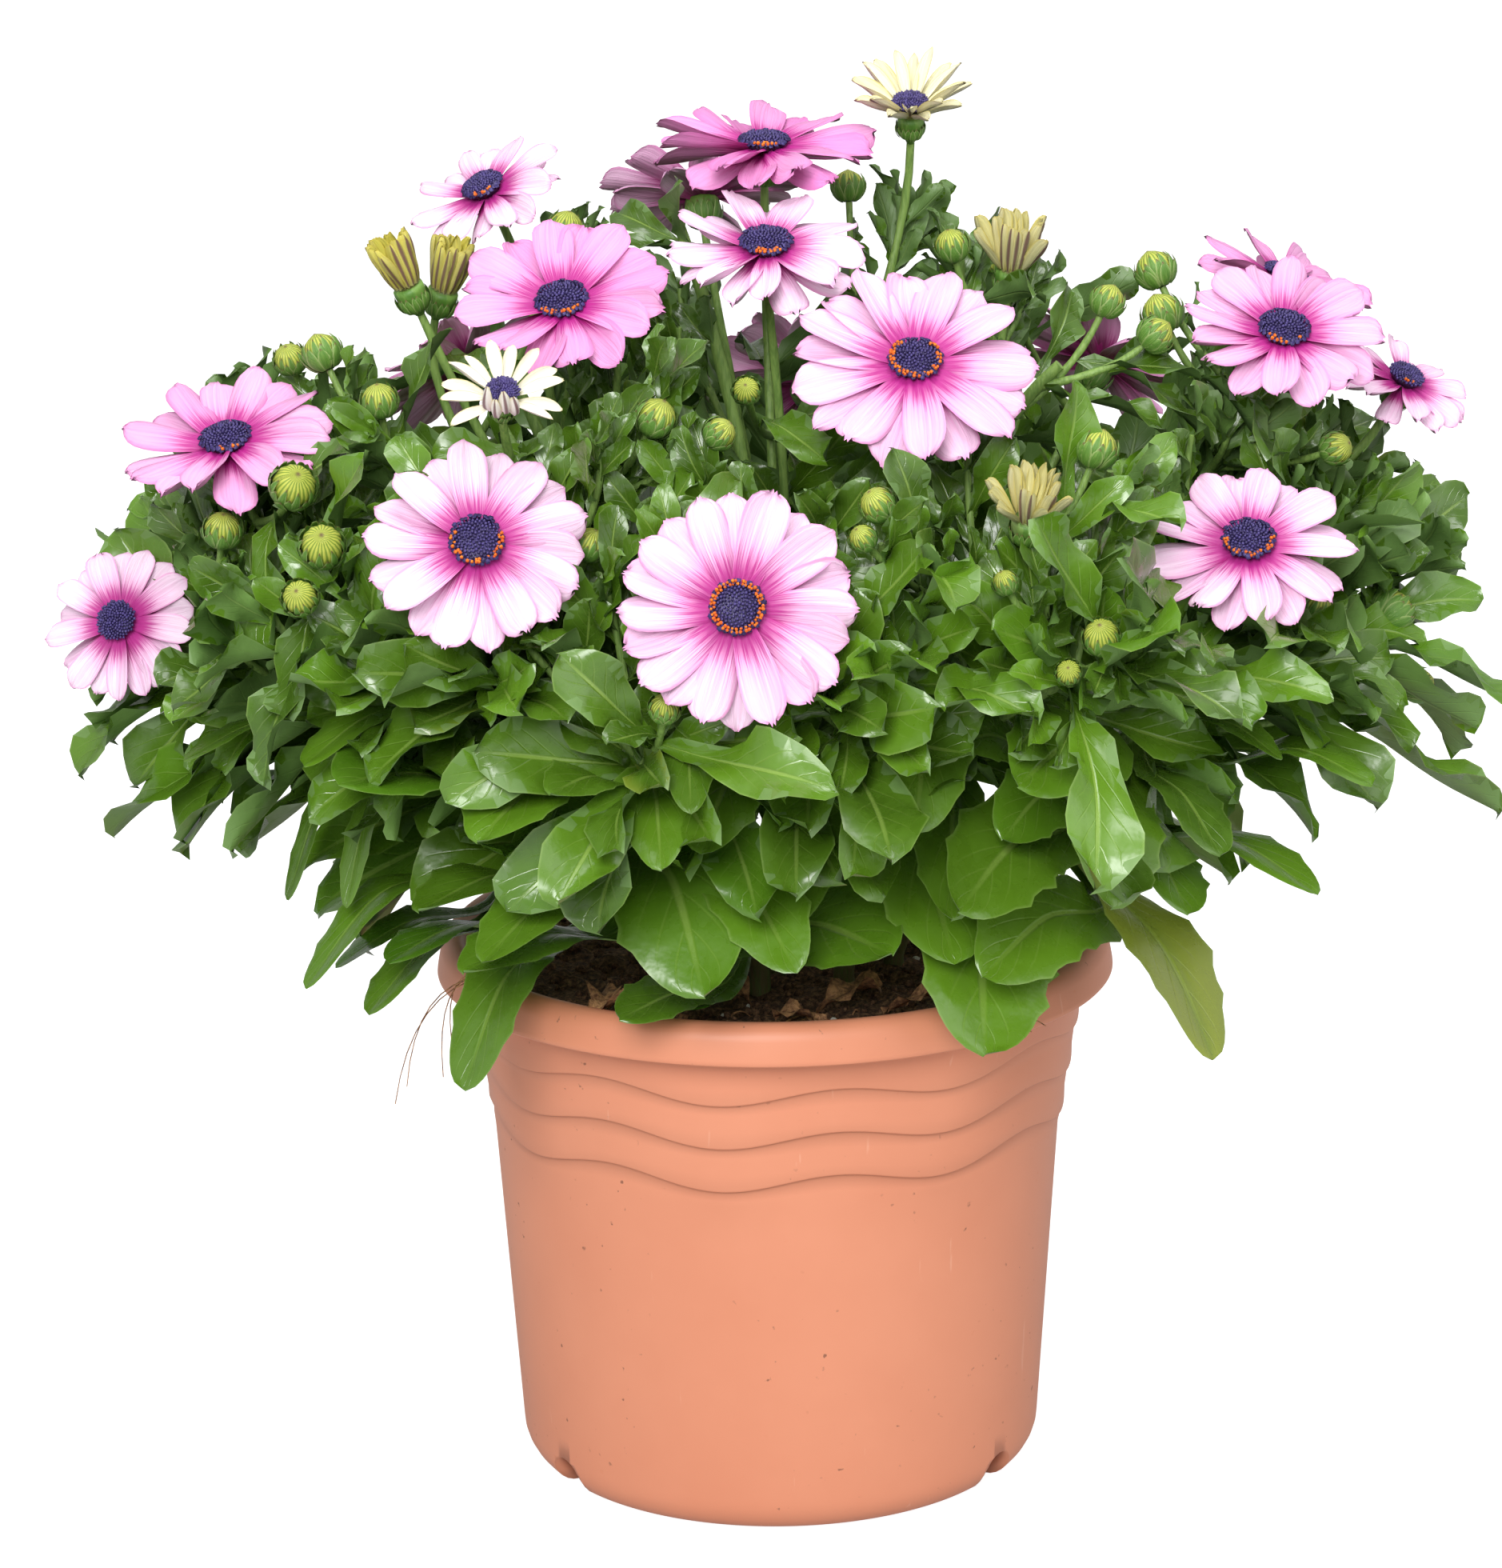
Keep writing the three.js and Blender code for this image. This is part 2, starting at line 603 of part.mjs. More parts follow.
// One layer of petals around a low hub, as a single closed geometry: neighbours share their root
// corners on the hub's rim, so no cut or join is needed between them.
function petalLayer({ count, hub, reach, lift, curl, height, half, turnOffset, seed, ridge }) {
  const positions = [];
  const index = [];
  const corner = (point) => positions.push(point.x, point.y, point.z) / 3 - 1;
  const bottom = corner(vec(0, 0, height));
  const top = corner(vec(0, 0, height + ridge));
  const step = (2 * Math.PI) / count;
  const rim = [];
  for (let i = 0; i < count; i += 1) {
    const turn = turnOffset + (i - 0.5) * step;
    rim.push(corner(vec(hub * Math.cos(turn), hub * Math.sin(turn), height)));
  }
  for (let i = 0; i < count; i += 1) {
    const turn = turnOffset + i * step;
    const wander = (draw(seed, i) - 0.5) * step * PETAL_SCATTER.turn;
    const length = reach * (1 - PETAL_SCATTER.length * draw(seed + 20, i)) - hub;
    const rise = radians(lift + PETAL_SCATTER.rise * (draw(seed + 40, i) - 0.5));
    const ridgePoint = vec(hub * Math.cos(turn), hub * Math.sin(turn), height + ridge);
    let ring = [rim[i], rim[(i + 1) % count], corner(ridgePoint)];
    index.push(bottom, rim[(i + 1) % count], rim[i]);
    index.push(top, rim[i], ring[2], top, ring[2], rim[(i + 1) % count]);
    let [radius, level, slope, done] = [hub, height, rise, 0];
    const advance = (part) => {
      radius += length * (part - done) * Math.cos(slope);
      level += length * (part - done) * Math.sin(slope);
      slope += radians(curl);
      done = part;
    };
    PETAL_OUTLINE.forEach(([part, share]) => {
      advance(part);
      const next = petalRing(turn + wander, radius, level, half * share, ridge, slope).map(corner);
      for (let k = 0; k < 3; k += 1) {
        const other = (k + 1) % 3;
        index.push(ring[k], ring[other], next[other], ring[k], next[other], next[k]);
      }
      ring = next;
    });
    advance(1);
    const tipTurn = turn + wander;
    const tip = corner(vec(radius * Math.cos(tipTurn), radius * Math.sin(tipTurn), level + ridge / 2));
    index.push(ring[0], ring[1], tip, ring[1], ring[2], tip, ring[2], ring[0], tip);
  }
  const geometry = new THREE.BufferGeometry();
  geometry.setAttribute("position", new THREE.Float32BufferAttribute(positions, 3));
  geometry.setIndex(index);
  return geometry;
}

// A petal widens evenly from the hub to its broadest place, close to its blunt tip.
const PETAL_OUTLINE = [[0.8, 1]];
const PETAL_SCATTER = { turn: 0.12, length: 0.06, rise: 3 };
const OPEN_PETAL = 0.185; // half a petal's width, against half the flower's
const YOUNG_PETAL = 0.13;
const TIP_CURL = -8; // degrees that an open petal bends down towards its tip
const LAYER_GAP = 0.95;
const LOWER_LAYER = { length: 0.97, drop: 7 };
const PETAL_LEVEL = 0.4;
const CUP_TOP = -BLADE - PETAL_LEVEL; // a shut flower's petals start just above its cup
const STUB = { radius: 1.8, bottom: -0.35, top: 0.75 };

// Both layers of petals, with a short stub that holds them together.
function raysSolid(flower, seed) {
  const reach = flower.width / 2;
  const isShut = flower.lift > SHUT;
  const layer = {
    count: flower.petals,
    hub: isShut ? SHUT_HUB_RADIUS : HUB_RADIUS,
    reach,
    lift: flower.lift,
    curl: flower.curl ?? TIP_CURL,
    height: isShut ? CUP_TOP + GAP : PETAL_LEVEL,
    half: reach * (flower.curl === undefined ? OPEN_PETAL : YOUNG_PETAL),
    turnOffset: 0.3 * seed,
    seed: 100 + seed,
    ridge: BLADE,
  };
  const upper = toSolid(petalLayer(layer));
  if (isShut) return upper;
  const lower = toSolid(petalLayer({
    ...layer,
    reach: reach * LOWER_LAYER.length,
    lift: layer.lift - LOWER_LAYER.drop,
    height: layer.height - LAYER_GAP,
    turnOffset: layer.turnOffset + Math.PI / flower.petals,
    seed: 200 + seed,
  }));
  const { radius, bottom, top } = STUB;
  const stub = toSolid(lathe([[0, bottom], [radius, bottom], [radius, top], [0, top]], 4));
  return wasm.Manifold.union([upper, stub, lower]);
}

const FULL_WIDTH = 50; // narrower flowers have smaller centres and cups
const sizeOf = (flower) => Math.min(1, flower.width / FULL_WIDTH);
const SHUT_CUP = 0.85;

const DISC_SIDES = 8;
const DISC_EDGE = 1.9; // heights of the centre's edge, of its ring of open florets and of its middle
const DISC_SHOULDER = 3.4;
const DISC_MIDDLE = 2.9;
const FLORET_RELIEF = 0.35;

// The centre: a low dome whose rings of florets stand out by turns.
function discSolid(flower) {
  const wide = DISC_RADIUS * sizeOf(flower);
  const floor = PETAL_LEVEL + BLADE + GAP;
  const profile = [
    [0, floor],
    [wide, floor + DISC_EDGE],
    [wide * 0.6, floor + DISC_SHOULDER],
    [0, floor + DISC_MIDDLE],
  ];
  const geometry = lathe(profile, DISC_SIDES);
  const position = geometry.attributes.position;
  for (let i = 0; i < position.count; i += 1) {
    const [x, y, z] = [position.getX(i), position.getY(i), position.getZ(i)];
    const bump = FLORET_RELIEF * Math.cos((DISC_SIDES / 2) * Math.atan2(y, x));
    const onAxis = Math.hypot(x, y) < DISC_RADIUS / 10;
    if (!onAxis && z > floor + FLORET_RELIEF) position.setZ(i, z + bump);
  }
  return toSolid(geometry);
}

// ------------------------------------------------------------------ buds and leaves

// Where along a large leaf's spine its edge has corners, and its width there for its full half width.
// It starts as a narrow stalk, and its toothed edge swings out and in again.
const LARGE_LEAF = [[0, 0.1], [0.6, 0.86], [0.84, 1]];
const SMALL_LEAF = [[0.66, 1]];
const SMALL_BLADE = 0.7;
const LEAF_DROOP = 0.16;
const LEAF_FOLD = 0.22; // a large leaf's edges rise this much of its half width above its midrib

// A large blade along a spine, folded along its midrib: four corners a ring.
function bladeGeometry(spine, face, half, grow) {
  const thick = (BLADE + grow) / 2;
  const rings = LARGE_LEAF.map(([part, share]) => {
    const middle = spine.getPoint(part);
    const along = spine.getTangent(part);
    const across = vec().crossVectors(along, face).normalize();
    const normal = vec().crossVectors(across, along).normalize();
    const reach = half * share + grow;
    const fold = LEAF_FOLD * half * share;
    return [
      middle.clone().addScaledVector(across, -reach).addScaledVector(normal, fold),
      middle.clone().addScaledVector(normal, -thick),
      middle.clone().addScaledVector(across, reach).addScaledVector(normal, fold),
      middle.clone().addScaledVector(normal, thick),
    ];
  });
  return loft(rings, spine.getPoint(1).addScaledVector(spine.getTangent(1), grow));
}

function leafSpine(root, base, tip, sag) {
  const middle = base.clone().lerp(tip, 0.5).add(vec(0, 0, -sag));
  return new THREE.CatmullRomCurve3([root, base, middle, tip], false, "centripetal");
}

// The upper side of a leaf looks up and away from the plant's middle.
function leafFace(base, tip) {
  const along = tip.clone().sub(base).normalize();
  const outward = vec(base.x + tip.x, base.y + tip.y, 0).normalize();
  const look = outward.multiplyScalar(0.75).add(vec(0, 0, 0.8));
  return look.addScaledVector(along, -look.dot(along)).normalize();
}

// ------------------------------------------------------------------ shoots
// A shoot is one closed geometry: rings strung along a curve, a cup or a bud at its end, and leaves
// that grow out of its sides. A leaf starts from one side between two rings that lie close together,
// so it shares its root with the stem and needs no join.

const SIDES = 5;
const LEAF_ROOT = 2.8; // how much of the stem a leaf's root takes up
const LEAF_OPENNESS = 1.1; // how much the leaves' upper sides turn out from the plant, against up
const CUP_DEPTH = 8.8; // from a flower's middle back to the end of its bare stalk
const CUP_RADIUS = 4.5;
const NO_LEAVES = () => null;

function ringFrames(curve, parts) {
  const frames = [];
  let normal = null;
  parts.forEach((part) => {
    const along = curve.getTangent(Math.min(part, 1));
    const guess = normal ?? (Math.abs(along.z) > 0.9 ? vec(1, 0, 0) : vec(0, 0, 1));
    normal = guess.clone().addScaledVector(along, -guess.dot(along)).normalize();
    const second = vec().crossVectors(along, normal);
    const center = curve.getPoint(Math.min(part, 1)).addScaledVector(along, Math.max(0, part - 1));
    frames.push({ center, along, normal, second });
  });
  return frames;
}

function ringAt({ center, normal, second }, radius) {
  const ring = [];
  for (let i = 0; i < SIDES; i += 1) {
    const turn = (2 * Math.PI * i) / SIDES;
    const corner = center.clone().addScaledVector(normal, radius * Math.cos(turn));
    ring.push(corner.addScaledVector(second, radius * Math.sin(turn)));
  }
  return ring;
}

// Rings of the stretch after the curve's end, given as distances past it. A part above 1 is such a
// distance plus 1.
const cupRings = (scale) => [
  [1 + CUP_DEPTH * 0.45, CUP_RADIUS * scale],
  [1 + CUP_DEPTH + CUP_TOP, CUP_RADIUS * scale],
];
const budRings = (half) => [[1 + 0.45 * half, 0.9 * half], [1 + 1.45 * half, 0.92 * half]];

function shootRings({ curve, radius, leafNodes, what, cupScale, budRadius }) {
  const rings = [[0, radius]];
  const span = LEAF_ROOT / 2 / curve.getLength();
  leafNodes.forEach((part) => rings.push([part - span, radius * 1.1], [part + span, radius * 1.1]));
  if (what !== "bud") rings.push([1, radius * 0.9]);
  if (what === "flower") rings.push(...cupRings(cupScale));
  if (what === "bud") rings.push(...budRings(budRadius));
  return rings;
}

function shootGeometry(shoot, leavesAt) {
  const positions = [];
  const index = [];
  const corner = (point) => positions.push(point.x, point.y, point.z) / 3 - 1;
  const quad = (a, b, c, d) => index.push(a, b, c, a, c, d);
  const plan = shootRings(shoot);
  const frames = ringFrames(shoot.curve, plan.map(([part]) => part));
  const rings = plan.map(([, radius], i) => ringAt(frames[i], radius));
  const corners = rings.map((ring) => ring.map(corner));
  const last = corners.length - 1;
  for (let i = 2; i < SIDES; i += 1) index.push(corners[0][0], corners[0][i], corners[0][i - 1]);
  for (let ring = 0; ring < last; ring += 1) {
    const middle = (plan[ring][0] + plan[ring + 1][0]) / 2;
    for (let side = 0; side < SIDES; side += 1) {
      const next = (side + 1) % SIDES;
      const sideOf = (list) => [
        list[ring][side], list[ring][next], list[ring + 1][next], list[ring + 1][side],
      ];
      const root = sideOf(corners);
      const points = sideOf(rings);
      const blade = leavesAt(middle, side, points, frames[ring].along);
      if (blade) {
        let here = root;
        blade.rings.forEach((bladeRing) => {
          const there = bladeRing.map(corner);
          for (let k = 0; k < 4; k += 1) quad(here[k], here[(k + 1) % 4], there[(k + 1) % 4], there[k]);
          here = there;
        });
        const tip = corner(blade.tip);
        for (let k = 0; k < 4; k += 1) index.push(here[k], here[(k + 1) % 4], tip);
      } else {
        quad(...root);
      }
    }
  }
  if (shoot.what === "flower") {
    for (let i = 2; i < SIDES; i += 1) index.push(corners[last][0], corners[last][i - 1], corners[last][i]);
  } else {
    const end = frames[last];
    const point = corner(end.center.clone().addScaledVector(end.along, plan[last][1] * 0.8));
    for (let i = 0; i < SIDES; i += 1) index.push(corners[last][i], corners[last][(i + 1) % SIDES], point);
  }
  const geometry = new THREE.BufferGeometry();
  geometry.setAttribute("position", new THREE.Float32BufferAttribute(positions, 3));
  geometry.setIndex(index);
  return geometry;
}

// Rings of a small leaf that grows from the four given corners of a stem's side.
function smallLeafRings(corners, heading, length, half, grow) {
  const root = corners.reduce((sum, point) => sum.add(point), vec()).divideScalar(4);
  const outward = vec(root.x, root.y, 0).normalize();
  const open = outward.multiplyScalar(LEAF_OPENNESS).add(UP);
  const across = vec().crossVectors(open, heading).normalize();
  const normal = vec().crossVectors(heading, across).normalize();
  const sagging = (part) => -length * LEAF_DROOP * part * part;
  const at = (part) => root.clone().addScaledVector(heading, length * part).add(vec(0, 0, sagging(part)));
  const rings = SMALL_LEAF.map(([part, share]) => {
    const middle = at(part);
    const reach = half * share + grow;
    const thick = SMALL_BLADE / 2 + grow;
    return [[-1, -1], [1, -1], [1, 1], [-1, 1]].map(([side, level]) => (
      middle.clone().addScaledVector(across, side * reach).addScaledVector(normal, level * thick)
    ));
  });
  return { rings, tip: at(1).addScaledVector(heading, grow) };
}

// ------------------------------------------------------------------ leafy stems

const flowerPlans = new Map([...FLOWERS, ...YOUNG_FLOWERS].map((flower) => [flower.name, flower]));

function trunkCurve(stem) {
  const [x, y] = stem.foot;
  const bottom = SOIL_TOP - HOLE_DEPTH;
  const fork = vec(...stem.fork);
  const knee = vec(x, y, SOIL_TOP + 6);
  const middle = knee.clone().lerp(fork, 0.5).add(vec(-x * 0.05, -y * 0.05, 3));
  const points = [vec(x, y, bottom), vec(x, y, (bottom + SOIL_TOP) / 2), knee, middle, fork];
  return new THREE.CatmullRomCurve3(points, false, "centripetal");
}

// A shoot leaves the fork along the trunk, then bends to arrive along the given direction.
function shootCurve(from, to, arrival, sway) {
  const reach = from.distanceTo(to);
  const start = to.clone().sub(from).setZ(0).multiplyScalar(SHOOT_START);
  start.z = reach * SHOOT_START;
  const side = vec().crossVectors(UP, to.clone().sub(from)).setLength(sway);
  const first = from.clone().add(start).add(side);
  const second = to.clone().addScaledVector(arrival, -reach * SHOOT_END).addScaledVector(side, 0.5);
  return new THREE.CubicBezierCurve3(from, first, second, to);
}

const SHOOT_START = 0.3; // lengths of the bend's two arms, against the shoot's reach
const SHOOT_END = 0.27;
const SWAYS = [0.001, 5, -5, 10, -10, 15, -15, 21, -21, 28, -28];

// Tries a shoot's ways until one runs clear of every other node, and keeps its bare form in place.
function settle(node, shoot, curves) {
  for (const curve of curves) {
    const probe = { ...shoot, curve, radius: shoot.radius + CLEARANCE };
    if (isClear(node, toSolid(shootGeometry(probe, NO_LEAVES)))) {
      const settled = { ...shoot, curve };
      record(node, toSolid(shootGeometry(settled, NO_LEAVES)));
      return settled;
    }
  }
  console.error("no clear way", node, shoot.what, shoot.end);
  return null;
}

// Where along a shoot its leaves sit, two by two or three by three.
const FLOWER_NODES = [0.3, 0.58];
const TIP_NODES = [0.5, 0.92];
const BUD_NODES = [0.6];

// Lays out one stem: its trunk, and the ways of the shoots to its flowers, tips and buds.
function layOutStem(stem, number) {
  const node = stemNode(stem.name);
  const trunk = trunkCurve(stem);
  const trunkSolid = record(node, toSolid(tube(trunk, TRUNK_RADIUS, 5, 4)));
  const fork = trunk.getPoint(0.97);
  const ways = (end, arrival) => SWAYS.map((sway) => shootCurve(fork, end, arrival, sway));
  const shoots = [];
  stem.flowers.forEach((name) => {
    const plan = flowerPlans.get(name);
    const look = facing(plan.look);
    const end = vec(...plan.at).addScaledVector(look, -CUP_DEPTH);
    const cupScale = plan.lift > SHUT ? SHUT_CUP : sizeOf(plan);
    const shoot = { what: "flower", radius: STALK_RADIUS, leafNodes: FLOWER_NODES, cupScale, end };
    shoots.push(settle(node, shoot, ways(end, look)));
  });
  stem.tips.forEach((tip) => {
    const end = vec(...tip);
    const arrival = vec(end.x, end.y, 60).normalize();
    const shoot = { what: "tip", radius: SHOOT_RADIUS, leafNodes: TIP_NODES, end };
    shoots.push(settle(node, shoot, ways(end, arrival)));
  });
  const carriers = shoots.filter(Boolean);
  stem.buds.forEach((bud) => {
    const end = vec(bud[0], bud[1], bud[2] - bud[3] * 0.5);
    const shoot = { what: "bud", radius: BUD_STALK_RADIUS, leafNodes: BUD_NODES, end };
    shoots.push(settle(node, { ...shoot, budRadius: bud[3] / 2 }, budStalks(carriers, end)));
  });
  return { node, number, trunk, parts: [trunkSolid], shoots: shoots.filter(Boolean), leafRoots: [] };
}

const BUD_DROP = 24; // a bud's stalk leaves its shoot about this far below the bud
const BUD_CHOICES = 24;

// The ways of a bud's stalk from its stem's shoots, the likeliest first.
function budStalks(carriers, end) {
  const choices = [];
  carriers.forEach((shoot) => {
    for (let part = 0.1; part <= 0.95; part += 0.05) {
      const start = shoot.curve.getPoint(part);
      const drop = end.z - start.z;
      const cost = start.distanceTo(end) + Math.abs(drop - BUD_DROP) * 0.8;
      if (drop > 6) choices.push({ start, cost });
    }
  });
  choices.sort((first, second) => first.cost - second.cost);
  return choices.slice(0, BUD_CHOICES).map(({ start }) => {
    const middle = start.clone().lerp(end, 0.7).setZ((start.z + end.z) / 2 - 2);
    return new THREE.QuadraticBezierCurve3(start, middle, end);
  });
}

// Ways to shift a large leaf: a turn about its root in degrees, and how much its tip is raised.
const LEAF_SHIFTS = [
  [0, 0], [0, 4], [0, -4], [4, 3], [-4, 3], [7, 0], [-7, 0], [8, -7], [-8, -7], [12, 5], [-12, 5],
];

// Tries a large leaf at its place, then turned a little about its root, until it meets nothing.
function addLargeBlade(stem, root, plan) {
  for (const [turn, raise] of LEAF_SHIFTS) {
    const swing = new THREE.Quaternion().setFromAxisAngle(UP, radians(turn));
    const base = vec(...plan.base).sub(root).applyQuaternion(swing).add(root);
    const tip = vec(...plan.tip).sub(root).applyQuaternion(swing).add(root).add(vec(0, 0, raise));
    const spine = leafSpine(root, base, tip, plan.sag);
    const face = leafFace(base, tip);
    const probe = toSolid(bladeGeometry(spine, face, plan.width / 2, CLEARANCE));
    if (isClear(stem.node, probe, true)) {
      const blade = toSolid(bladeGeometry(spine, face, plan.width / 2, 0));
      stem.parts.push(record(stem.node, blade, true));
      stem.leafRoots.push(root);
      return true;
    }
  }
  return false;
}

// A large leaf grows from the nearest shoot or trunk that lies behind its base.
function addLargeLeaf(stems, plan) {
  const base = vec(...plan.base);
  const tip = vec(...plan.tip);
  const reach = base.distanceTo(tip);
  const roots = [];
  const offer = (stem, point, extra) => {
    const taken = stem.leafRoots.some((other) => other.distanceTo(point) < ROOT_SPACING);
    if (taken || point.distanceTo(tip) < reach * 0.9) return;
    roots.push({ stem, point, cost: point.distanceTo(base) + extra });
  };
  stems.forEach((stem) => {
    stem.shoots.filter((shoot) => shoot.what !== "bud").forEach((shoot) => {
      for (let part = 0.02; part <= 0.7; part += 0.04) offer(stem, shoot.curve.getPoint(part), 0);
    });
    for (let part = 0.55; part <= 0.95; part += 0.1) offer(stem, stem.trunk.getPoint(part), 3);
  });
  roots.sort((first, second) => first.cost - second.cost);
  return roots.slice(0, ROOT_CHOICES).some(({ stem, point }) => addLargeBlade(stem, point, plan));
}

const ROOT_SPACING = 3.5; // large leaves don't share a root
const ROOT_CHOICES = 16;

const LEAF_SIDES = { flower: [0, 2], tip: [0, 1, 3], bud: [0, 2] }; // sides that carry a leaf

// Ways to point a small leaf: how much further out from the plant, and how much further along its stem.
const LEAF_LEANS = [[0, 0.25], [0.3, 0.5], [-0.3, 0], [0, 0.9], [0.5, -0.4], [-0.6, 0.6]];
const LEAF_OUT = 0.35;
const LEAF_ALONG = 0.3;
const SQUARE_ENOUGH = 0.35; // least cosine between a leaf and the side it grows from

// Grows the small leaves on a shoot's sides, shorter with height, wherever they meet nothing.
function growShoot(stem, shoot, seed) {
  const leavesAt = (part, side, corners, along) => {
    const number = shoot.leafNodes.findIndex((leafNode) => Math.abs(leafNode - part) < 1e-6);
    if (number < 0) return null;
    const offset = (side - number * 2 - Math.floor(SIDES * draw(seed, 60)) + 4 * SIDES) % SIDES;
    if (!LEAF_SIDES[shoot.what].includes(offset)) return null;
    const across = corners[1].clone().sub(corners[0]);
    const out = across.cross(corners[3].clone().sub(corners[0])).normalize();
    const rank = THREE.MathUtils.inverseLerp(LEAF_RANGE.low, LEAF_RANGE.high, corners[0].z);
    const height = THREE.MathUtils.clamp(rank, 0, 1);
    const scatter = 0.85 + 0.3 * draw(seed, 10 * number + side);
    const length = THREE.MathUtils.lerp(LOW_LEAF.length, HIGH_LEAF.length, height) * scatter;
    const half = THREE.MathUtils.lerp(LOW_LEAF.width, HIGH_LEAF.width, height) / 2;
    for (const [lean, rise] of LEAF_LEANS) {
      const outward = vec(corners[0].x, corners[0].y, 0).setLength(LEAF_OUT + lean);
      const heading = out.clone().add(outward).addScaledVector(along, LEAF_ALONG + rise).normalize();
      if (heading.dot(out) < SQUARE_ENOUGH) continue;
      const probe = smallLeafRings(corners, heading, length, half, CLEARANCE);
      const solid = toSolid(loft([corners, ...probe.rings], probe.tip));
      if (isClear(stem.node, solid, true)) {
        record(stem.node, solid, true);
        return smallLeafRings(corners, heading, length, half, 0);
      }
    }
    return null;
  };
  stem.parts.push(toSolid(shootGeometry(shoot, leavesAt)));
}

// ------------------------------------------------------------------ materials

const matte = (color, roughness) => new THREE.MeshStandardMaterial({ color, roughness, metalness: 0 });
const MATERIALS = {
  pot: matte("#e2936c", 0.5),
  soil: matte("#33251c", 0.95),
  foliage: matte("#3c7a22", 0.4),
  rays: matte("#e9a9d4", 0.55),
  youngRays: matte("#d9d59a", 0.6),
  disc: matte("#2b2554", 0.7),
};

// ------------------------------------------------------------------ putting it together

const stemNode = (name) => `leafy_stem_${name}`;

// Puts a flower, built looking up, at its own place and turns it its own way.
function placeOf(plan) {
  const turn = new THREE.Quaternion().setFromUnitVectors(UP, facing(plan.look));
  return new THREE.Matrix4().compose(vec(...plan.at), turn, vec(1, 1, 1));
}

function meshOf(name, solid, material) {
  const mesh = new THREE.Mesh(toGeometry(solid), material);
  mesh.name = name;
  return mesh;
}

// A flower is a group at its own place, looking its own way, with its petals and its centre.
function flowerGroup(plan, seed, material) {
  const group = new THREE.Group();
  group.applyMatrix4(placeOf(plan));
  const pieces = [[`rays_${plan.name}`, raysSolid(plan, seed), material]];
  if (plan.lift < SHUT) pieces.push([`disc_${plan.name}`, discSolid(plan), MATERIALS.disc]);
  pieces.forEach(([name, solid, slot]) => {
    const mesh = meshOf(name, solid, slot);
    group.add(mesh);
    record(name, toSolid(mesh.geometry.clone().applyMatrix4(placeOf(plan))));
  });
  return group;
}

const plant = new THREE.Group();

const pot = potSolid();
record("pot", pot);
plant.add(meshOf("pot", pot, MATERIALS.pot));

const soil = soilSolid();
record("soil", soil);
plant.add(meshOf("soil", soil, MATERIALS.soil));

FLOWERS.forEach((plan, i) => plant.add(flowerGroup(plan, i, MATERIALS.rays)));
YOUNG_FLOWERS.forEach((plan, i) => plant.add(flowerGroup(plan, 40 + i, MATERIALS.youngRays)));

const stems = STEMS.map(layOutStem);

LARGE_LEAVES.forEach((plan) => {
  if (!addLargeLeaf(stems, plan)) console.error("no room for the large leaf at", plan.base);
});

stems.forEach((stem) => {
  stem.shoots.forEach((shoot, i) => growShoot(stem, shoot, 300 + 20 * stem.number + i));
  plant.add(meshOf(stem.node, wasm.Manifold.union(stem.parts), MATERIALS.foliage));
});

export default plant;
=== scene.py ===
# %% [markdown]
# # A potted osteospermum
#
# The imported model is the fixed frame: a pot, its soil, thirteen leafy stems and twenty-three flowers, all
# as plain faceted solids. This script loads it and grows a finer plant in the same places. Every length
# below is in millimetres, and is turned into metres only where a mesh is made.

import json
import math
from collections import namedtuple

import bpy
import numpy as np
from mathutils import Matrix, Vector, noise
from mathutils.bvhtree import BVHTree

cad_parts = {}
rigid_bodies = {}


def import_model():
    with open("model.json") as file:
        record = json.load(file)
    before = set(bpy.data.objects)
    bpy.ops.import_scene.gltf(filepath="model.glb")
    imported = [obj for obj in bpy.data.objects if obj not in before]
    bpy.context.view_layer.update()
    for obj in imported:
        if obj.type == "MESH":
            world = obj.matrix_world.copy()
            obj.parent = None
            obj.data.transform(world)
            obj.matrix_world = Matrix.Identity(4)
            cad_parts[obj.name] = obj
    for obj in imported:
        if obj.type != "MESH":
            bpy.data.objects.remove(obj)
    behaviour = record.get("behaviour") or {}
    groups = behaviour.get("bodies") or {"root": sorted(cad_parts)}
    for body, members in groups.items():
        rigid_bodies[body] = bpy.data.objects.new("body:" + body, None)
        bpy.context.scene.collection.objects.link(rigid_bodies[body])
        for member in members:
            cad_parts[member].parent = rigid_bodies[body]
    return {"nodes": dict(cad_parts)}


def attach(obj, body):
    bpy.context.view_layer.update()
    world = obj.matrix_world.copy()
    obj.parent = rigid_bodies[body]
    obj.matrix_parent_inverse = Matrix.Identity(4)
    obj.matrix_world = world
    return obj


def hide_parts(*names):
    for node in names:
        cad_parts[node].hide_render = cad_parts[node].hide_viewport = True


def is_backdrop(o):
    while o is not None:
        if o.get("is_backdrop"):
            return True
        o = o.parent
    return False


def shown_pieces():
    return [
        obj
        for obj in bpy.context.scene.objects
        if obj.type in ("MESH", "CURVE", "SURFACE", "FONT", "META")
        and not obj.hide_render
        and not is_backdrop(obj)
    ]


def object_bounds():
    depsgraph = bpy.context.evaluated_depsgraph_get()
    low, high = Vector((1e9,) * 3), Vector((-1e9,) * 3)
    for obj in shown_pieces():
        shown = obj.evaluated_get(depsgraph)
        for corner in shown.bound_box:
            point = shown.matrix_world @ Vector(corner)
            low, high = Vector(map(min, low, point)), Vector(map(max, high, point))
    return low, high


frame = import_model()
cad_low, cad_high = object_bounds()
MM = 0.001
print("CAD box in mm:", [round(c / MM) for c in cad_low], [round(c / MM) for c in cad_high])

# %% [markdown]
# ## Small tools for directions and seeded draws
#
# Plants look alive when nothing repeats exactly, but a script has to give the same plant each time. So
# every random choice comes from `draw`, which turns a pair of numbers into a value between 0 and 1.

# %% Directions, draws and curves
UP = np.array([0.0, 0.0, 1.0])


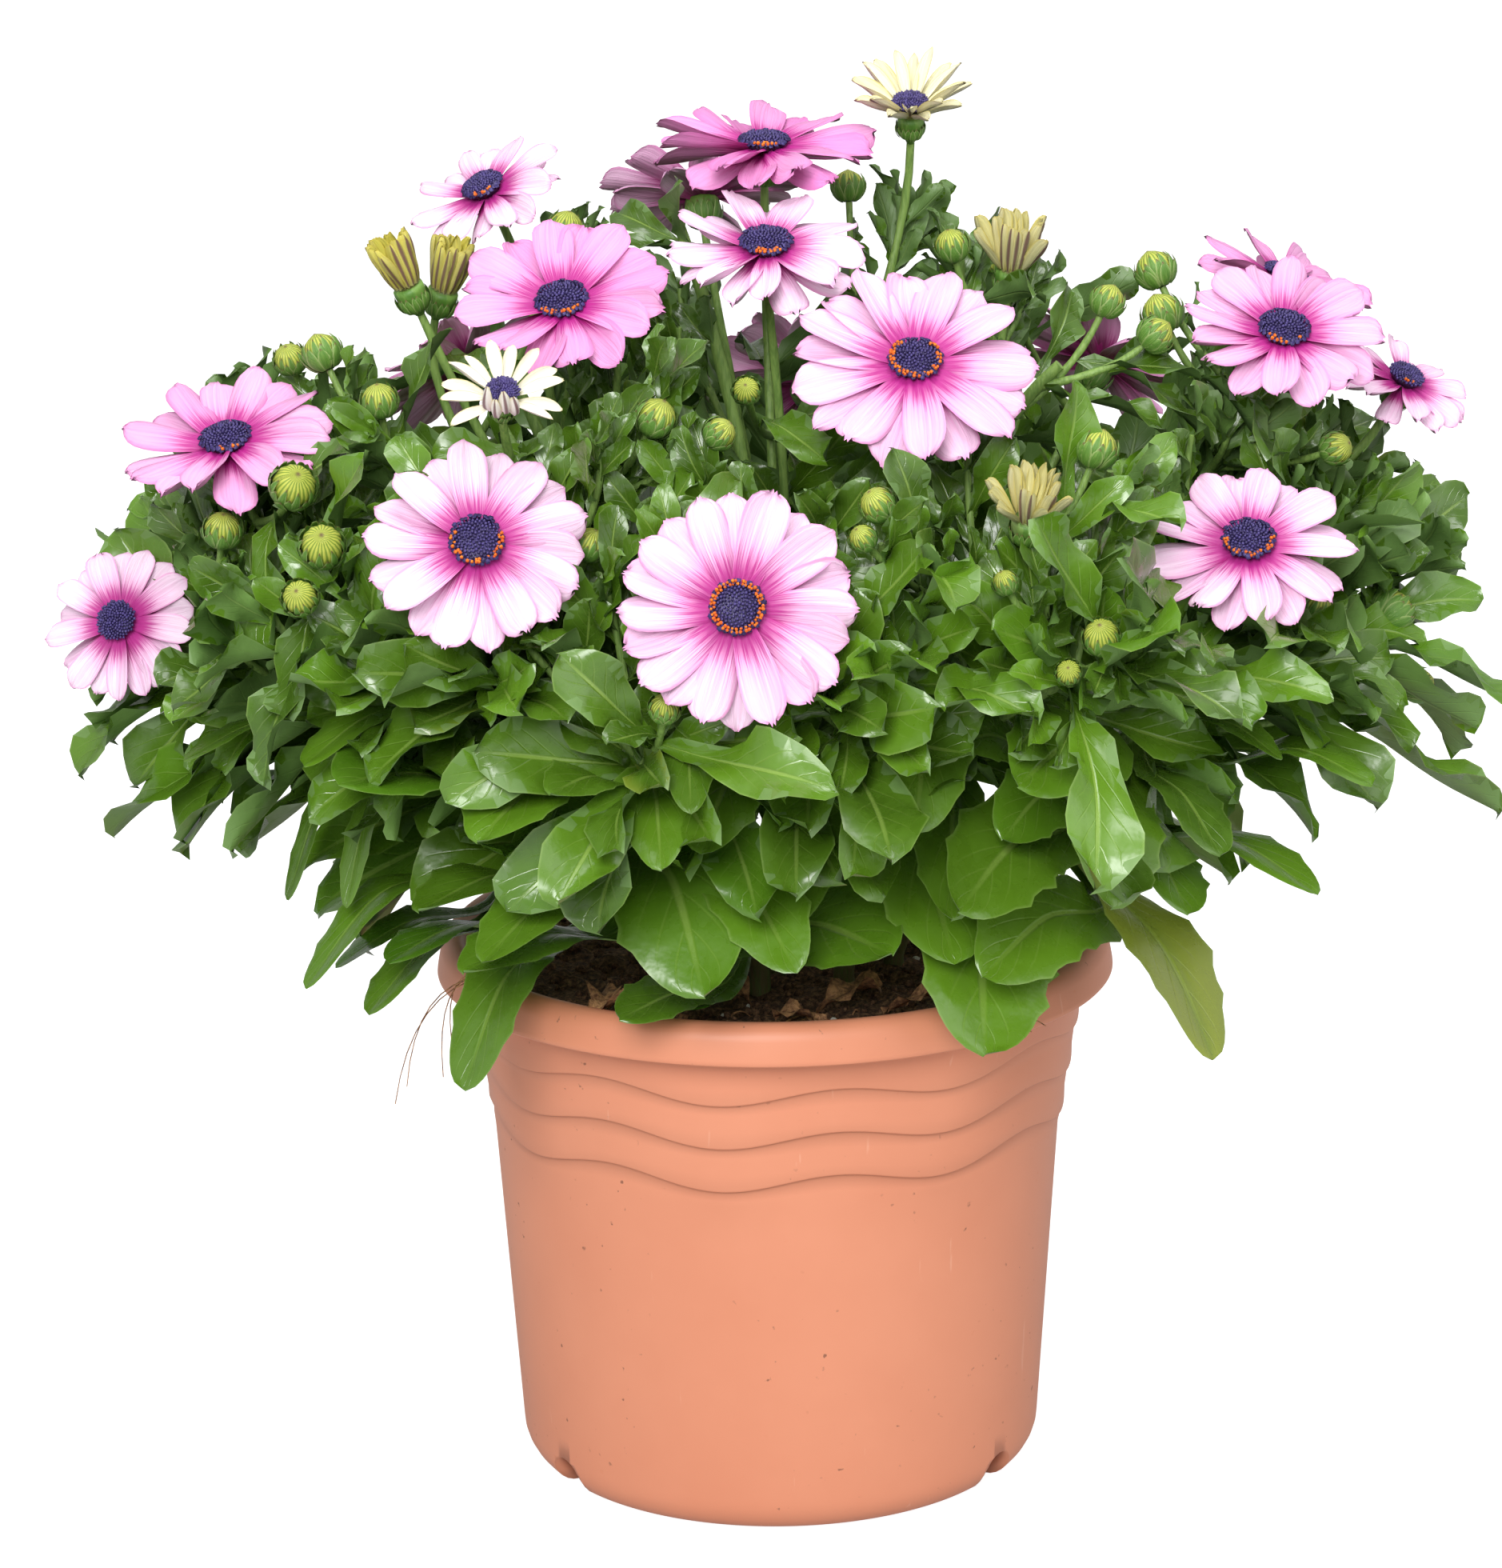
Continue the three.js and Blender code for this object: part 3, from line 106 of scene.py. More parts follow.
def unit(vector):
    return np.asarray(vector, float) / max(float(np.linalg.norm(vector)), 1e-9)


def facing(azimuth, elevation):
    """A direction from its turn away from the front, and its rise above the horizon, in degrees."""
    turn, rise = math.radians(azimuth), math.radians(elevation)
    return np.array([math.sin(turn) * math.cos(rise), -math.cos(turn) * math.cos(rise), math.sin(rise)])


def outward(place):
    """Level, and away from the plant's middle."""
    return unit((place[0], place[1], 0))


def square_to(vector, along):
    return unit(vector - along * np.dot(vector, along))


def round_about(axis):
    """Two directions square to an axis and to each other."""
    first = unit(np.cross(axis, UP if abs(axis[2]) < 0.9 else (1.0, 0, 0)))
    return first, np.cross(axis, first)


def turned(vector, degrees):
    """A vector turned round the z axis."""
    (x, y, z), turn = vector, math.radians(degrees)
    cosine, sine = math.cos(turn), math.sin(turn)
    return np.array([x * cosine - y * sine, x * sine + y * cosine, z])


def share_of(value, low, high):
    """0 up to low, 1 from high on, and even between."""
    return min(max((value - low) / (high - low), 0), 1)


def draw(first, second):
    mixed = math.sin(first * 127.1 + second * 311.7 + 7.3) * 43758.5453
    return mixed - math.floor(mixed)


def spread(first, second, low, high):
    return low + (high - low) * draw(first, second)


class Path:
    """A curve with a place and a direction at each part from 0 to 1."""

    def __init__(self, place):
        self.at = place

    def along(self, part):
        return unit(self.at(min(part + 1e-4, 1.0)) - self.at(max(part - 1e-4, 0.0)))

    def length(self):
        points = np.array([self.at(part) for part in np.linspace(0, 1, 60)])
        return float(np.linalg.norm(np.diff(points, axis=0), axis=1).sum())


def bend(start, first, second, end):
    """A cubic curve that leaves start towards first and arrives at end from second."""
    def place(t):
        s = 1 - t
        return s**3 * start + 3 * s * s * t * first + 3 * s * t * t * second + t**3 * end
    return Path(place)


def arc(start, middle, end):
    return Path(lambda t: (1 - t) ** 2 * start + 2 * (1 - t) * t * middle + t * t * end)


def through(points):
    """A smooth curve through all the points, by the centripetal Catmull-Rom rule."""
    points = [np.asarray(p, float) for p in points]
    last = len(points) - 1

    def place(t):
        spot = min(int(t * last), last - 1)
        w = t * last - spot
        p1, p2 = points[spot], points[spot + 1]
        p0 = points[spot - 1] if spot > 0 else 2 * points[0] - points[1]
        p3 = points[spot + 2] if spot + 2 <= last else 2 * points[last] - points[last - 1]
        d0, d1, d2 = (np.sum((b - a) ** 2) ** 0.25 for a, b in ((p0, p1), (p1, p2), (p2, p3)))
        t1 = ((p1 - p0) / d0 - (p2 - p0) / (d0 + d1) + (p2 - p1) / d1) * d1
        t2 = ((p2 - p1) / d1 - (p3 - p1) / (d1 + d2) + (p3 - p2) / d2) * d1
        return p1 + t1 * w + (-3 * p1 + 3 * p2 - 2 * t1 - t2) * w**2 + (2 * p1 - 2 * p2 + t1 + t2) * w**3
    return Path(place)


print("draw(3, 5) is always", round(draw(3, 5), 6))

# %% [markdown]
# ## The camera first
#
# The camera stands a little above the flowers and looks slightly down, as someone does who admires a pot
# on a table. It is placed first, because its view decides which leaves would hide a flower or a bud.

# %% The camera
CAMERA_AT = (-5.43, -1241.2, 511.23)
CAMERA_TURN = ((0.99990, 0.0140, 0.0), (-0.00367, 0.26188, -0.96509), (-0.01351, 0.96500, 0.26191))
CAMERA_LENS = 118.19

camera = bpy.data.objects.new("camera", bpy.data.cameras.new("camera"))
bpy.context.scene.collection.objects.link(camera)
rows = [(*turn, at * MM) for turn, at in zip(CAMERA_TURN, CAMERA_AT)]
camera.matrix_world = Matrix([*rows, (0, 0, 0, 1)])
camera.data.lens = CAMERA_LENS
camera.data.clip_end = 20
bpy.context.scene.camera = camera
print("camera lens in mm:", camera.data.lens)

# %% [markdown]
# ## Building node trees in words
#
# Both materials and Geometry Nodes are trees of nodes. `add` makes one node, sets its settings and fills
# its inputs, either with a value or with another node's output. `Value` wraps an output so that it can
# stand in a sum: `0.6 * age + 0.45 * tint` makes the three math nodes. `Look` holds a material as it grows.

# %% Helpers for node trees
def add(tree, kind, inputs=None, **settings):
    made = tree.nodes.new(kind)
    for key, value in settings.items():
        setattr(made, key, value)
    for key, value in (inputs or {}).items():
        value = getattr(value, "socket", value)
        if isinstance(value, bpy.types.NodeSocket):
            tree.links.new(value, made.inputs[key])
        else:
            made.inputs[key].default_value = value
    return made


class Value:
    """A node's output that can stand in a sum like a number."""

    def __init__(self, socket):
        self.socket, self.tree = socket, socket.id_data

    def calc(self, operation, *others):
        inputs = dict(enumerate((self, *others)))
        return Value(add(self.tree, "ShaderNodeMath", inputs, operation=operation).outputs[0])

    def __add__(self, other):
        return self.calc("ADD", other)

    def __sub__(self, other):
        return self.calc("SUBTRACT", other)

    def __mul__(self, other):
        return self.calc("MULTIPLY", other)

    def __abs__(self):
        return self.calc("ABSOLUTE")

    __radd__, __rmul__ = __add__, __mul__

    def step(self, low, high):
        """0 below low, 1 above high, and smooth between."""
        inputs = {"Value": self, "From Min": low, "From Max": high}
        made = add(self.tree, "ShaderNodeMapRange", inputs, interpolation_type="SMOOTHSTEP")
        return Value(made.outputs[0])


def rgb(red, green, blue):
    """A colour given as it looks on a screen, 0 to 255, turned into the linear values that nodes use."""
    shares = [c / 255 for c in (red, green, blue)]
    return (*[c / 12.92 if c <= 0.04045 else ((c + 0.055) / 1.055) ** 2.4 for c in shares], 1.0)


class Look:
    """A new material, its tree and its shader, with the uniform values set on the shader's sockets."""

    def __init__(self, name, roughness, ior=1.5):
        self.material = bpy.data.materials.new(name)
        self.material.use_nodes = True
        self.tree = self.material.node_tree
        self.sockets = self.tree.nodes["Principled BSDF"].inputs
        self.sockets["Roughness"].default_value, self.sockets["IOR"].default_value = roughness, ior
        self.color = None

    def value(self, kind, output=0, inputs=None, **settings):
        return Value(add(self.tree, kind, inputs, **settings).outputs[output])

    def own(self, name):
        """A number that the mesh itself carries."""
        return self.value("ShaderNodeAttribute", "Fac", attribute_name=name)

    def place(self):
        return self.value("ShaderNodeTexCoord", "Object")

    def parts(self, vector):
        return [Value(part) for part in add(self.tree, "ShaderNodeSeparateXYZ", {0: vector}).outputs]

    def surface(self):
        """Across and along a leaf or petal, and how far from its middle line, each from 0 to 1."""
        across, along, _ = self.parts(self.value("ShaderNodeUVMap", uv_map="UVMap"))
        return across, along, abs(across - 0.5) * 2.0

    def noise(self, scale, detail=2.0, roughness=0.5, vector=None):
        inputs = {"Vector": vector or self.place(), "Scale": scale, "Detail": detail,
                  "Roughness": roughness}
        return self.value("ShaderNodeTexNoise", inputs=inputs)

    def drawn_out(self, across, along, wide, long):
        """A coordinate in which noise draws out into fine lines along a leaf or petal."""
        inputs = {0: across * wide, 1: along * long, 2: self.own("tint")}
        return self.value("ShaderNodeCombineXYZ", inputs=inputs)

    def ramp(self, share, stops):
        """Starts the colour from a ramp of (place, colour) stops."""
        made = add(self.tree, "ShaderNodeValToRGB", {0: share})
        elements = made.color_ramp.elements
        while len(elements) < len(stops):
            elements.new(0.5)
        for element, (place, color) in zip(elements, stops):
            element.position, element.color = place, color
        self.color = Value(made.outputs[0])

    def paint(self, share, color, first=None):
        """Blends a colour over the one so far, or over a first one."""
        inputs = {0: share, 6: first or self.color, 7: color}
        self.color = self.value("ShaderNodeMix", 2, inputs, data_type="RGBA")

    def finished(self, height, strength, distance):
        """Links the colour, raises the surface by a height, and returns the material."""
        self.tree.links.new(self.color.socket, self.sockets["Base Color"])
        inputs = {"Height": height, "Strength": strength, "Distance": distance * MM}
        self.tree.links.new(add(self.tree, "ShaderNodeBump", inputs).outputs[0], self.sockets["Normal"])
        return self.material


print("a salmon pot is", [round(c, 3) for c in rgb(238, 155, 122)])

# %% [markdown]
# ## Turning points into meshes
#
# A mesh is a list of corners and a list of faces that name their corners. `mesh_from` also stores where
# each corner lies across and along its leaf or petal, and which faces are an underside, so that one
# material can colour both sides.

# %% Meshes from lists
def mesh_from(name, corners, faces, across_along=None, under=None, material=None):
    mesh = bpy.data.meshes.new(name)
    mesh.from_pydata((np.asarray(corners, float) * MM).tolist(), [], faces)
    mesh.polygons.foreach_set("use_smooth", [True] * len(mesh.polygons))
    places = np.zeros((len(corners), 2)) if across_along is None else np.asarray(across_along, float)
    owners = np.zeros(len(mesh.loops), int)
    mesh.loops.foreach_get("vertex_index", owners)
    mesh.uv_layers.new(name="UVMap").data.foreach_set("uv", places[owners].astype(np.float32).ravel())
    marks = np.zeros(len(faces), np.float32) if under is None else np.asarray(under, np.float32)
    mesh.attributes.new("under", "FLOAT", "FACE").data.foreach_set("value", marks)
    if under is not None:  # the shading breaks where the upper side meets the underside
        edge_of, corners_of = np.zeros(len(mesh.loops), int), np.zeros(len(faces), int)
        mesh.loops.foreach_get("edge_index", edge_of)
        mesh.polygons.foreach_get("loop_total", corners_of)
        sides = np.bincount(edge_of, np.repeat(marks, corners_of), len(mesh.edges))
        mesh.attributes.new("sharp_edge", "BOOLEAN", "EDGE").data.foreach_set("value", sides == 1)
    if material:
        mesh.materials.append(material)
    mesh.update()
    return mesh


def blade(name, middle, thickness, material, scale=1.0, along=None):
    """A thin closed blade around a grid whose rows run along it, shut along all its edges."""
    rows, columns, _ = middle.shape
    inner = (slice(1, -1), slice(1, -1))
    normals = np.cross(np.gradient(middle, axis=0), np.gradient(middle, axis=1))
    normals /= np.maximum(np.linalg.norm(normals, axis=2, keepdims=True), 1e-9)
    half = np.zeros((rows, columns, 1))
    half[inner] = thickness / 2
    along = np.linspace(0, 1, rows) if along is None else along
    places = np.stack(np.meshgrid(np.linspace(0, 1, columns), along), axis=2)
    upper = np.arange(rows * columns).reshape(rows, columns)
    lower = upper.copy()
    lower[inner] = rows * columns + np.arange((rows - 2) * (columns - 2)).reshape(rows - 2, columns - 2)
    both = [(middle + normals * half).reshape(-1, 3), (middle - normals * half)[inner].reshape(-1, 3)]
    faces = []
    for r in range(rows - 1):
        for c in range(columns - 1):
            ring = ((r, c), (r + 1, c), (r + 1, c + 1), (r, c + 1))
            faces += [[int(upper[k]) for k in ring], [int(lower[k]) for k in reversed(ring)]]
    places = np.concatenate([places.reshape(-1, 2), places[inner].reshape(-1, 2)])
    under = [0.0, 1.0] * (len(faces) // 2)
    return mesh_from(name, np.concatenate(both) * scale, faces, places, under, material)


def circle(sides):
    """Places round the z axis at a distance of 1."""
    turns = 2 * math.pi * np.arange(sides) / sides
    return np.stack([np.cos(turns), np.sin(turns), np.zeros(sides)], axis=1)


def ringed(name, first, rings, last, material=None, start=0):
    """A closed shape from a pole, rings that turn to the right about the way they rise, and a pole.

    A face's start is the corner from which it is cut into triangles.
    """
    rings = np.array(rings, float)
    count, sides, _ = rings.shape
    corners = np.concatenate([[first], rings.reshape(-1, 3), [last]])
    places = [(side / sides, (r + 1) / (count + 1)) for r in range(count) for side in range(sides)]
    faces, end = [], len(corners) - 1
    for side in range(sides):
        after = (side + 1) % sides
        faces += [(0, 1 + after, 1 + side), (end, end - sides + side, end - sides + after)]
        for low in range(1, end - sides, sides):
            face = (low + side, low + after, low + sides + after, low + sides + side)
            faces.append(face[start:] + face[:start])
    return mesh_from(name, corners, faces, [(0.5, 0.0), *places, (0.5, 1.0)], None, material)


def shown(mesh, name=None):
    piece = bpy.data.objects.new(name or mesh.name, mesh)
    bpy.context.scene.collection.objects.link(piece)
    return piece


def discard(piece):
    bpy.data.objects.remove(piece)


def joined(name, meshes):
    """One object from several meshes, which keeps their materials and attributes."""
    pieces = [shown(mesh, f"{name}_{i}") for i, mesh in enumerate(meshes) if len(mesh.polygons)]
    with bpy.context.temp_override(active_object=pieces[0], selected_editable_objects=pieces):
        if len(pieces) > 1:
            bpy.ops.object.join()
    pieces[0].name = name
    pieces[0].data.name = name
    return pieces[0]


SPENT = ("turn", "size", "kind", "thick")


def settle(piece, slot, *nodes):
    """Hands a finished piece to the frame: it rides on the root body and stands for CAD nodes."""
    for spent in SPENT:
        if spent in piece.data.attributes:
            piece.data.attributes.remove(piece.data.attributes[spent])
    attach(piece, "root")
    if nodes:
        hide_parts(*nodes)
    return piece


sample = ringed("sample", -UP, [circle(6)], UP)
print("a ring of 6 corners between two poles has", len(sample.polygons), "faces")
bpy.data.meshes.remove(sample)

# %% [markdown]
# ## Geometry Nodes: copies on points
#
# Petals, leaves and bud scales are each one small shape that repeats. A Geometry Nodes tree puts a copy on
# each point of a mesh. The points carry their own turn, size and kind, so the rule for where things grow
# stays readable in Python, and the tree does the heavy work. It ends by making the copies real, because an
# export drops instances, and by giving them their finish.

# %% The copying tree
def new_tree(name, inputs):
    """A Geometry Nodes tree that changes a mesh, and its inputs by name."""
    tree = bpy.data.node_groups.new(name, "GeometryNodeTree")
    tree.interface.new_socket("Geometry", in_out="INPUT", socket_type="NodeSocketGeometry")
    tree.interface.new_socket("Geometry", in_out="OUTPUT", socket_type="NodeSocketGeometry")
    for label, kind in inputs.items():
        tree.interface.new_socket(label, in_out="INPUT", socket_type=f"NodeSocket{kind}")
    return tree, add(tree, "NodeGroupInput").outputs


def end_tree(tree, geometry, finish):
    """Makes the copies real, gives them their finish and hands them out."""
    real = add(tree, "GeometryNodeRealizeInstances", {0: geometry}).outputs[0]
    painted = add(tree, "GeometryNodeSetMaterial", {"Geometry": real, "Material": finish}).outputs[0]
    add(tree, "NodeGroupOutput", {0: painted})


def carried(tree, name, kind):
    """A value that each point of the mesh brings along."""
    made = add(tree, "GeometryNodeInputNamedAttribute", {"Name": name}, data_type=kind)
    return made.outputs[0]


def placed_copies(tree, given, points, kind, turn, scale):
    """Ends a tree with a copy of a shape on each point, chosen by its kind."""
    shapes = add(tree, "GeometryNodeCollectionInfo", {
        "Collection": given["Shapes"], "Separate Children": True, "Reset Children": True}).outputs[0]
    copies = add(tree, "GeometryNodeInstanceOnPoints", {
        "Points": points, "Instance": shapes, "Pick Instance": True, "Instance Index": kind,
        "Rotation": turn, "Scale": scale}).outputs[0]
    end_tree(tree, copies, given["Finish"])


copy_tree, given = new_tree("copies_on_points", {
    "Shapes": "Collection", "Size": "Float", "Finish": "Material"})
copy_size = add(copy_tree, "ShaderNodeVectorMath", {
    0: carried(copy_tree, "size", "FLOAT_VECTOR"), "Scale": given["Size"]}, operation="SCALE").outputs[0]
placed_copies(copy_tree, given, given["Geometry"], carried(copy_tree, "kind", "INT"),
              carried(copy_tree, "turn", "QUATERNION"), copy_size)


def evaluated(piece):
    """The plain mesh that comes out of an object's modifiers."""
    bpy.context.view_layer.update()
    graph = bpy.context.evaluated_depsgraph_get()
    return bpy.data.meshes.new_from_object(
        piece.evaluated_get(graph), preserve_all_data_layers=True, depsgraph=graph)


def grow(name, tree, mesh, **values):
    """Runs a tree on a mesh with the given inputs, and returns the plain mesh that comes out."""
    holder = shown(mesh, f"{name}_seed")
    modifier = holder.modifiers.new("grow", "NODES")
    modifier.node_group = tree
    for item in tree.interface.items_tree:
        if item.in_out == "INPUT" and item.name in values:
            modifier[item.identifier] = values[item.name]
    plain = evaluated(holder)
    plain.name = name
    discard(holder)
    return plain


def collection_of(name, meshes):
    """The shapes to copy, in a collection that isn't part of the scene."""
    group = bpy.data.collections.new(name)
    for i, mesh in enumerate(meshes):
        group.objects.link(bpy.data.objects.new(f"{name}_{i:02d}", mesh))
    return group


class Points:
    """Points for the copying tree. A copy's own x axis runs along it, and its z axis is its upper side."""

    def __init__(self):
        self.rows = []

    def put(self, place, along, face, size, kind, tint=0.0, age=0.0):
        x = unit(along)
        y = unit(np.cross(face, x))
        z = np.cross(x, y)
        turn = Matrix((x, y, z)).transposed().to_quaternion()
        self.rows.append((place, tuple(turn), size, kind, tint, age))

    def mesh(self, name):
        made = bpy.data.meshes.new(name)
        made.from_pydata([tuple(np.asarray(row[0]) * MM) for row in self.rows], [], [])
        columns = list(zip(*self.rows))[1:]
        layout = (("turn", "QUATERNION"), ("size", "FLOAT_VECTOR"), ("kind", "INT"),
                  ("tint", "FLOAT"), ("age", "FLOAT"))
        for (label, kind), column in zip(layout, columns):
            values = np.array(column, np.int32 if kind == "INT" else np.float32)
            field = "vector" if kind == "FLOAT_VECTOR" else "value"
            made.attributes.new(label, kind, "POINT").data.foreach_set(field, values.ravel())
        return made


print("trees:", [tree.name for tree in bpy.data.node_groups])

# %% [markdown]
# ## The plan of the plant
#
# Where each bloom, bud and shoot tip sits was settled in the CAD part, and the same short lists stand here.
# A flower has its place, the way it looks as turn and rise in degrees, its width, half its number of
# petals, their lift in degrees, how saturated and how dusky it is, and how much pollen its centre shows.
# A stem has its foot and fork, its flowers, its buds with their size, and its tips. A large leaf has its
# base, its tip, its width and how far its middle sags.

# %% The plan lists
Flower = namedtuple("Flower", "name at look width petals lift tint dusk pollen")
Young = namedtuple("Young", "name at look width petals lift curl")
Stem = namedtuple("Stem", "name foot fork flowers buds tips")

FLOWERS = [
    Flower("front", (-8, -118, 247), (0, 23), 57, 10, 4, 0.22, 0.0, 1.0),
    Flower("front_left", (-67, -98, 258), (4, 37), 54, 9, 4, 0.15, 0.1, 0.6),
    Flower("mid_right", (34, -62, 291), (2, 51), 61, 9, 8, 0.35, 0.1, 0.8),
    Flower("mid_left", (-48, -45, 303), (-8, 57), 54, 8, 16, 0.7, 0.1, 0.3),
    Flower("center_top", (0, -28, 313), (2, 66), 50, 9, 6, 0.1, 0.0, 0.2),
    Flower("top", (0, 12, 331), (4, 80), 57, 9, 10, 0.85, 0.3, 0.2),
    Flower("far_top_left", (-68, 15, 321), (-42, 58), 41, 8, 10, 0.1, 0.5, 0.2),
    Flower("left", (-129, -35, 269), (-16, 64), 54, 8, 12, 0.6, 0.6, 0.2),
    Flower("far_left", (-157, -30, 225), (-19, 27), 40, 9, 4, 0.05, 0.1, 0.0),
    Flower("right", (112, -62, 247), (-2, 55), 52, 9, 5, 0.2, 0.1, 0.5),
    Flower("upper_right", (124, -18, 289), (9, 57), 52, 8, 12, 0.5, 0.2, 0.3),
    Flower("far_right", (157, 13, 271), (45, 59), 37, 8, 4, 0.1, 0.2, 0.1),
    Flower("behind_right", (131, 50, 290), (66, 68), 48, 8, 12, 0.75, 0.7, 0.2),
    Flower("back_left", (-78, 92, 264), (215, 42), 54, 8, 6, 0.35, 0.1, 0.6),
    Flower("back", (12, 118, 254), (176, 32), 56, 9, 5, 0.25, 0.0, 0.9),
    Flower("back_right", (88, 96, 262), (140, 46), 52, 8, 8, 0.5, 0.1, 0.5),
    Flower("back_top", (-16, 66, 312), (190, 62), 54, 8, 10, 0.3, 0.2, 0.4),
]
YOUNG_FLOWERS = [
    Young("young_left", (-61, -84, 289), (4, 46), 31, 8, 12, 4),
    Young("young_top", (36, 20, 339), (-1, 66), 36, 9, 38, 0),
    Young("half_open_top", (60, 5, 303), (20, 72), 35, 8, 70, 8),
    Young("half_open_right", (59, -88, 261), (8, 62), 32, 8, 66, 12),
    Young("closing_left", (-86, -24, 306), (-60, 66), 33, 8, 74, 12),
    Young("closing_right", (-78, -7, 302), (50, 68), 33, 8, 74, 12),
]
STEMS = [
    Stem("front", (-4, -30), (-7, -46, 178), ["front"],
         [(-25, -116, 225, 7)],
         [(-31, -96, 206), (17, -90, 212)]),
    Stem("front_left", (-20, -22), (-36, -46, 180), ["front_left", "young_left"],
         [(-43, -86, 256, 8), (-28, -78, 284, 9.2), (-14, -80, 281, 7.4)],
         [(-62, -76, 222), (-84, -72, 214)]),
    Stem("left", (-29, -6), (-60, -22, 178), ["left", "far_left"],
         [(-113, -55, 266, 10.6), (-104, -75, 256, 10.1), (-130, -50, 253, 8.8), (-108, -85, 246, 8.1)],
         [(-118, -30, 208), (-140, -22, 218)]),
    Stem("upper_left", (-14, -8), (-40, -16, 205), ["mid_left", "closing_left", "closing_right"],
         [(-105, -25, 290, 9.2), (-91, -50, 283, 8.5)],
         [(-90, -40, 262)]),
    Stem("left_back", (-28, 11), (-46, 22, 205), ["far_top_left"],
         [(-50, 8, 314, 8.6), (-115, -8, 286, 7.8)],
         [(-104, 30, 248)]),
    Stem("top", (0, -14), (2, -10, 215), ["center_top", "top", "young_top"],
         [(21, 34, 319, 8), (-5, -62, 288, 6.3)],
         [(-22, -2, 318)]),
    Stem("mid_right", (14, -8), (26, -22, 205), ["mid_right", "half_open_top"],
         [(46, -2, 310, 8.2), (80, -20, 299, 8.1), (90, -22, 292, 8.5)],
         [(70, -24, 284)]),
    Stem("front_right", (17, -26), (34, -48, 184), ["half_open_right"],
         [(74, -75, 274, 9.3), (26, -100, 268, 8), (22, -104, 261, 6.2),
          (54, -101, 249, 5.8), (75, -105, 238, 8.4), (67, -109, 231, 5.8)],
         [(86, -98, 232)]),
    Stem("right", (30, -12), (64, -32, 176), ["right"],
         [(128, -45, 229, 8.1), (148, -22, 224, 10.2), (154, -22, 206, 8.3)],
         [(124, -44, 214)]),
    Stem("upper_right", (29, 8), (60, 2, 195), ["upper_right", "far_right"],
         [(97, 6, 302, 9.5), (98, -4, 293, 9.8), (134, -22, 265, 7.8)],
         [(112, 4, 262)]),
    Stem("back_right", (18, 24), (42, 38, 186), ["behind_right", "back_right"],
         [(62, 74, 292, 8.5)],
         [(108, 68, 226)]),
    Stem("back", (0, 28), (4, 50, 184), ["back", "back_top"],
         [(40, 96, 276, 9)],
         [(34, 112, 216), (-20, 100, 222)]),
    Stem("back_left", (-18, 26), (-42, 44, 186), ["back_left"],
         [(-112, 66, 250, 9)],
         [(-98, 68, 222), (-72, 56, 276)]),
]
LARGE_LEAVES = [
    ((-62, -72, 190), (-100, -104, 203), 27, -5),
    ((-44, -80, 202), (-68, -113, 192), 20, -4),
    ((-33, -90, 198), (-51, -115, 204), 13, -3),
    ((-28, -88, 202), (-26, -120, 187), 13, -4),
    ((-20, -90, 214), (-19, -124, 201), 10, -4),
    ((-50, -54, 166), (-83, -96, 171), 19, -5),
    ((-34, -60, 172), (-68, -103, 164), 18, -6),
    ((-38, -54, 152), (-73, -95, 156), 19, -4),
    ((-30, -62, 178), (-17, -104, 152), 27, -7),
    ((-20, -62, 178), (-1, -106, 157), 18, -6),
    ((-8, -52, 152), (27, -94, 158), 25, -5),
    ((-54, -48, 147), (-75, -80, 122), 15, -10),
    ((-12, -60, 141), (-37, -93, 143), 11, -2),
    ((-76, -40, 166), (-112, -72, 145), 11, -8),
    ((-70, -26, 152), (-107, -44, 141), 11, -4),
    ((-62, -40, 152), (-92, -70, 150), 14, -4),
    ((-70, -34, 150), (-98, -62, 135), 12, -6),
    ((-98, -36, 190), (-117, -58, 163), 9, -10),
    ((-92, -42, 190), (-102, -66, 163), 9, -8),
    ((-104, -42, 203), (-140, -60, 198), 10, -5),
    ((-80, -64, 212), (-109, -90, 205), 14, -4),
    ((38, -68, 216), (32, -104, 190), 19, -6),
    ((62, -64, 196), (42, -91, 208), 14, -4),
    ((72, -62, 190), (53, -88, 184), 15, -4),
    ((79, -78, 203), (55, -112, 203), 20, -5),
    ((70, -56, 178), (42, -103, 171), 22, -6),
    ((80, -72, 196), (77, -111, 174), 20, -6),
    ((80, -46, 156), (48, -90, 151), 21, -5),
    ((48, -50, 154), (49, -92, 133), 24, -9),
    ((28, -42, 184), (33, -88, 148), 28, -7),
    ((42, -54, 190), (41, -92, 166), 17, -5),
    ((88, -50, 176), (127, -84, 168), 17, -5),
    ((106, -58, 194), (140, -80, 194), 19, -5),
    ((80, -42, 160), (104, -72, 124), 19, -6),
    ((86, -52, 178), (100, -80, 160), 19, -4),
    ((88, -70, 196), (103, -97, 182), 16, -4),
    ((98, -66, 208), (118, -84, 201), 10, -3),
    ((10, -50, 188), (3, -89, 168), 17, -5),
    ((-5, -72, 202), (-17, -105, 186), 17, -5),
    ((-12, -80, 197), (10, -114, 212), 13, -5),
    ((72, -90, 217), (50, -111, 240), 16, -4),
    ((78, -86, 214), (98, -110, 221), 17, -4),
    ((126, -26, 236), (156, -42, 248), 11, -3),
    ((-62, 60, 178), (-100, 92, 166), 22, -6),
    ((-30, 66, 172), (-44, 108, 158), 24, -7),
    ((-58, 38, 158), (-98, 62, 144), 20, -6),
    ((2, 64, 168), (4, 108, 152), 24, -7),
    ((22, 62, 190), (28, 108, 178), 20, -6),
    ((46, 58, 170), (66, 98, 154), 23, -7),
    ((60, 46, 186), (100, 80, 178), 20, -6),
    ((70, 26, 162), (112, 42, 146), 20, -6),
    ((-70, 12, 166), (-112, 18, 150), 18, -6),
    ((74, -2, 172), (118, -6, 160), 19, -6),
]
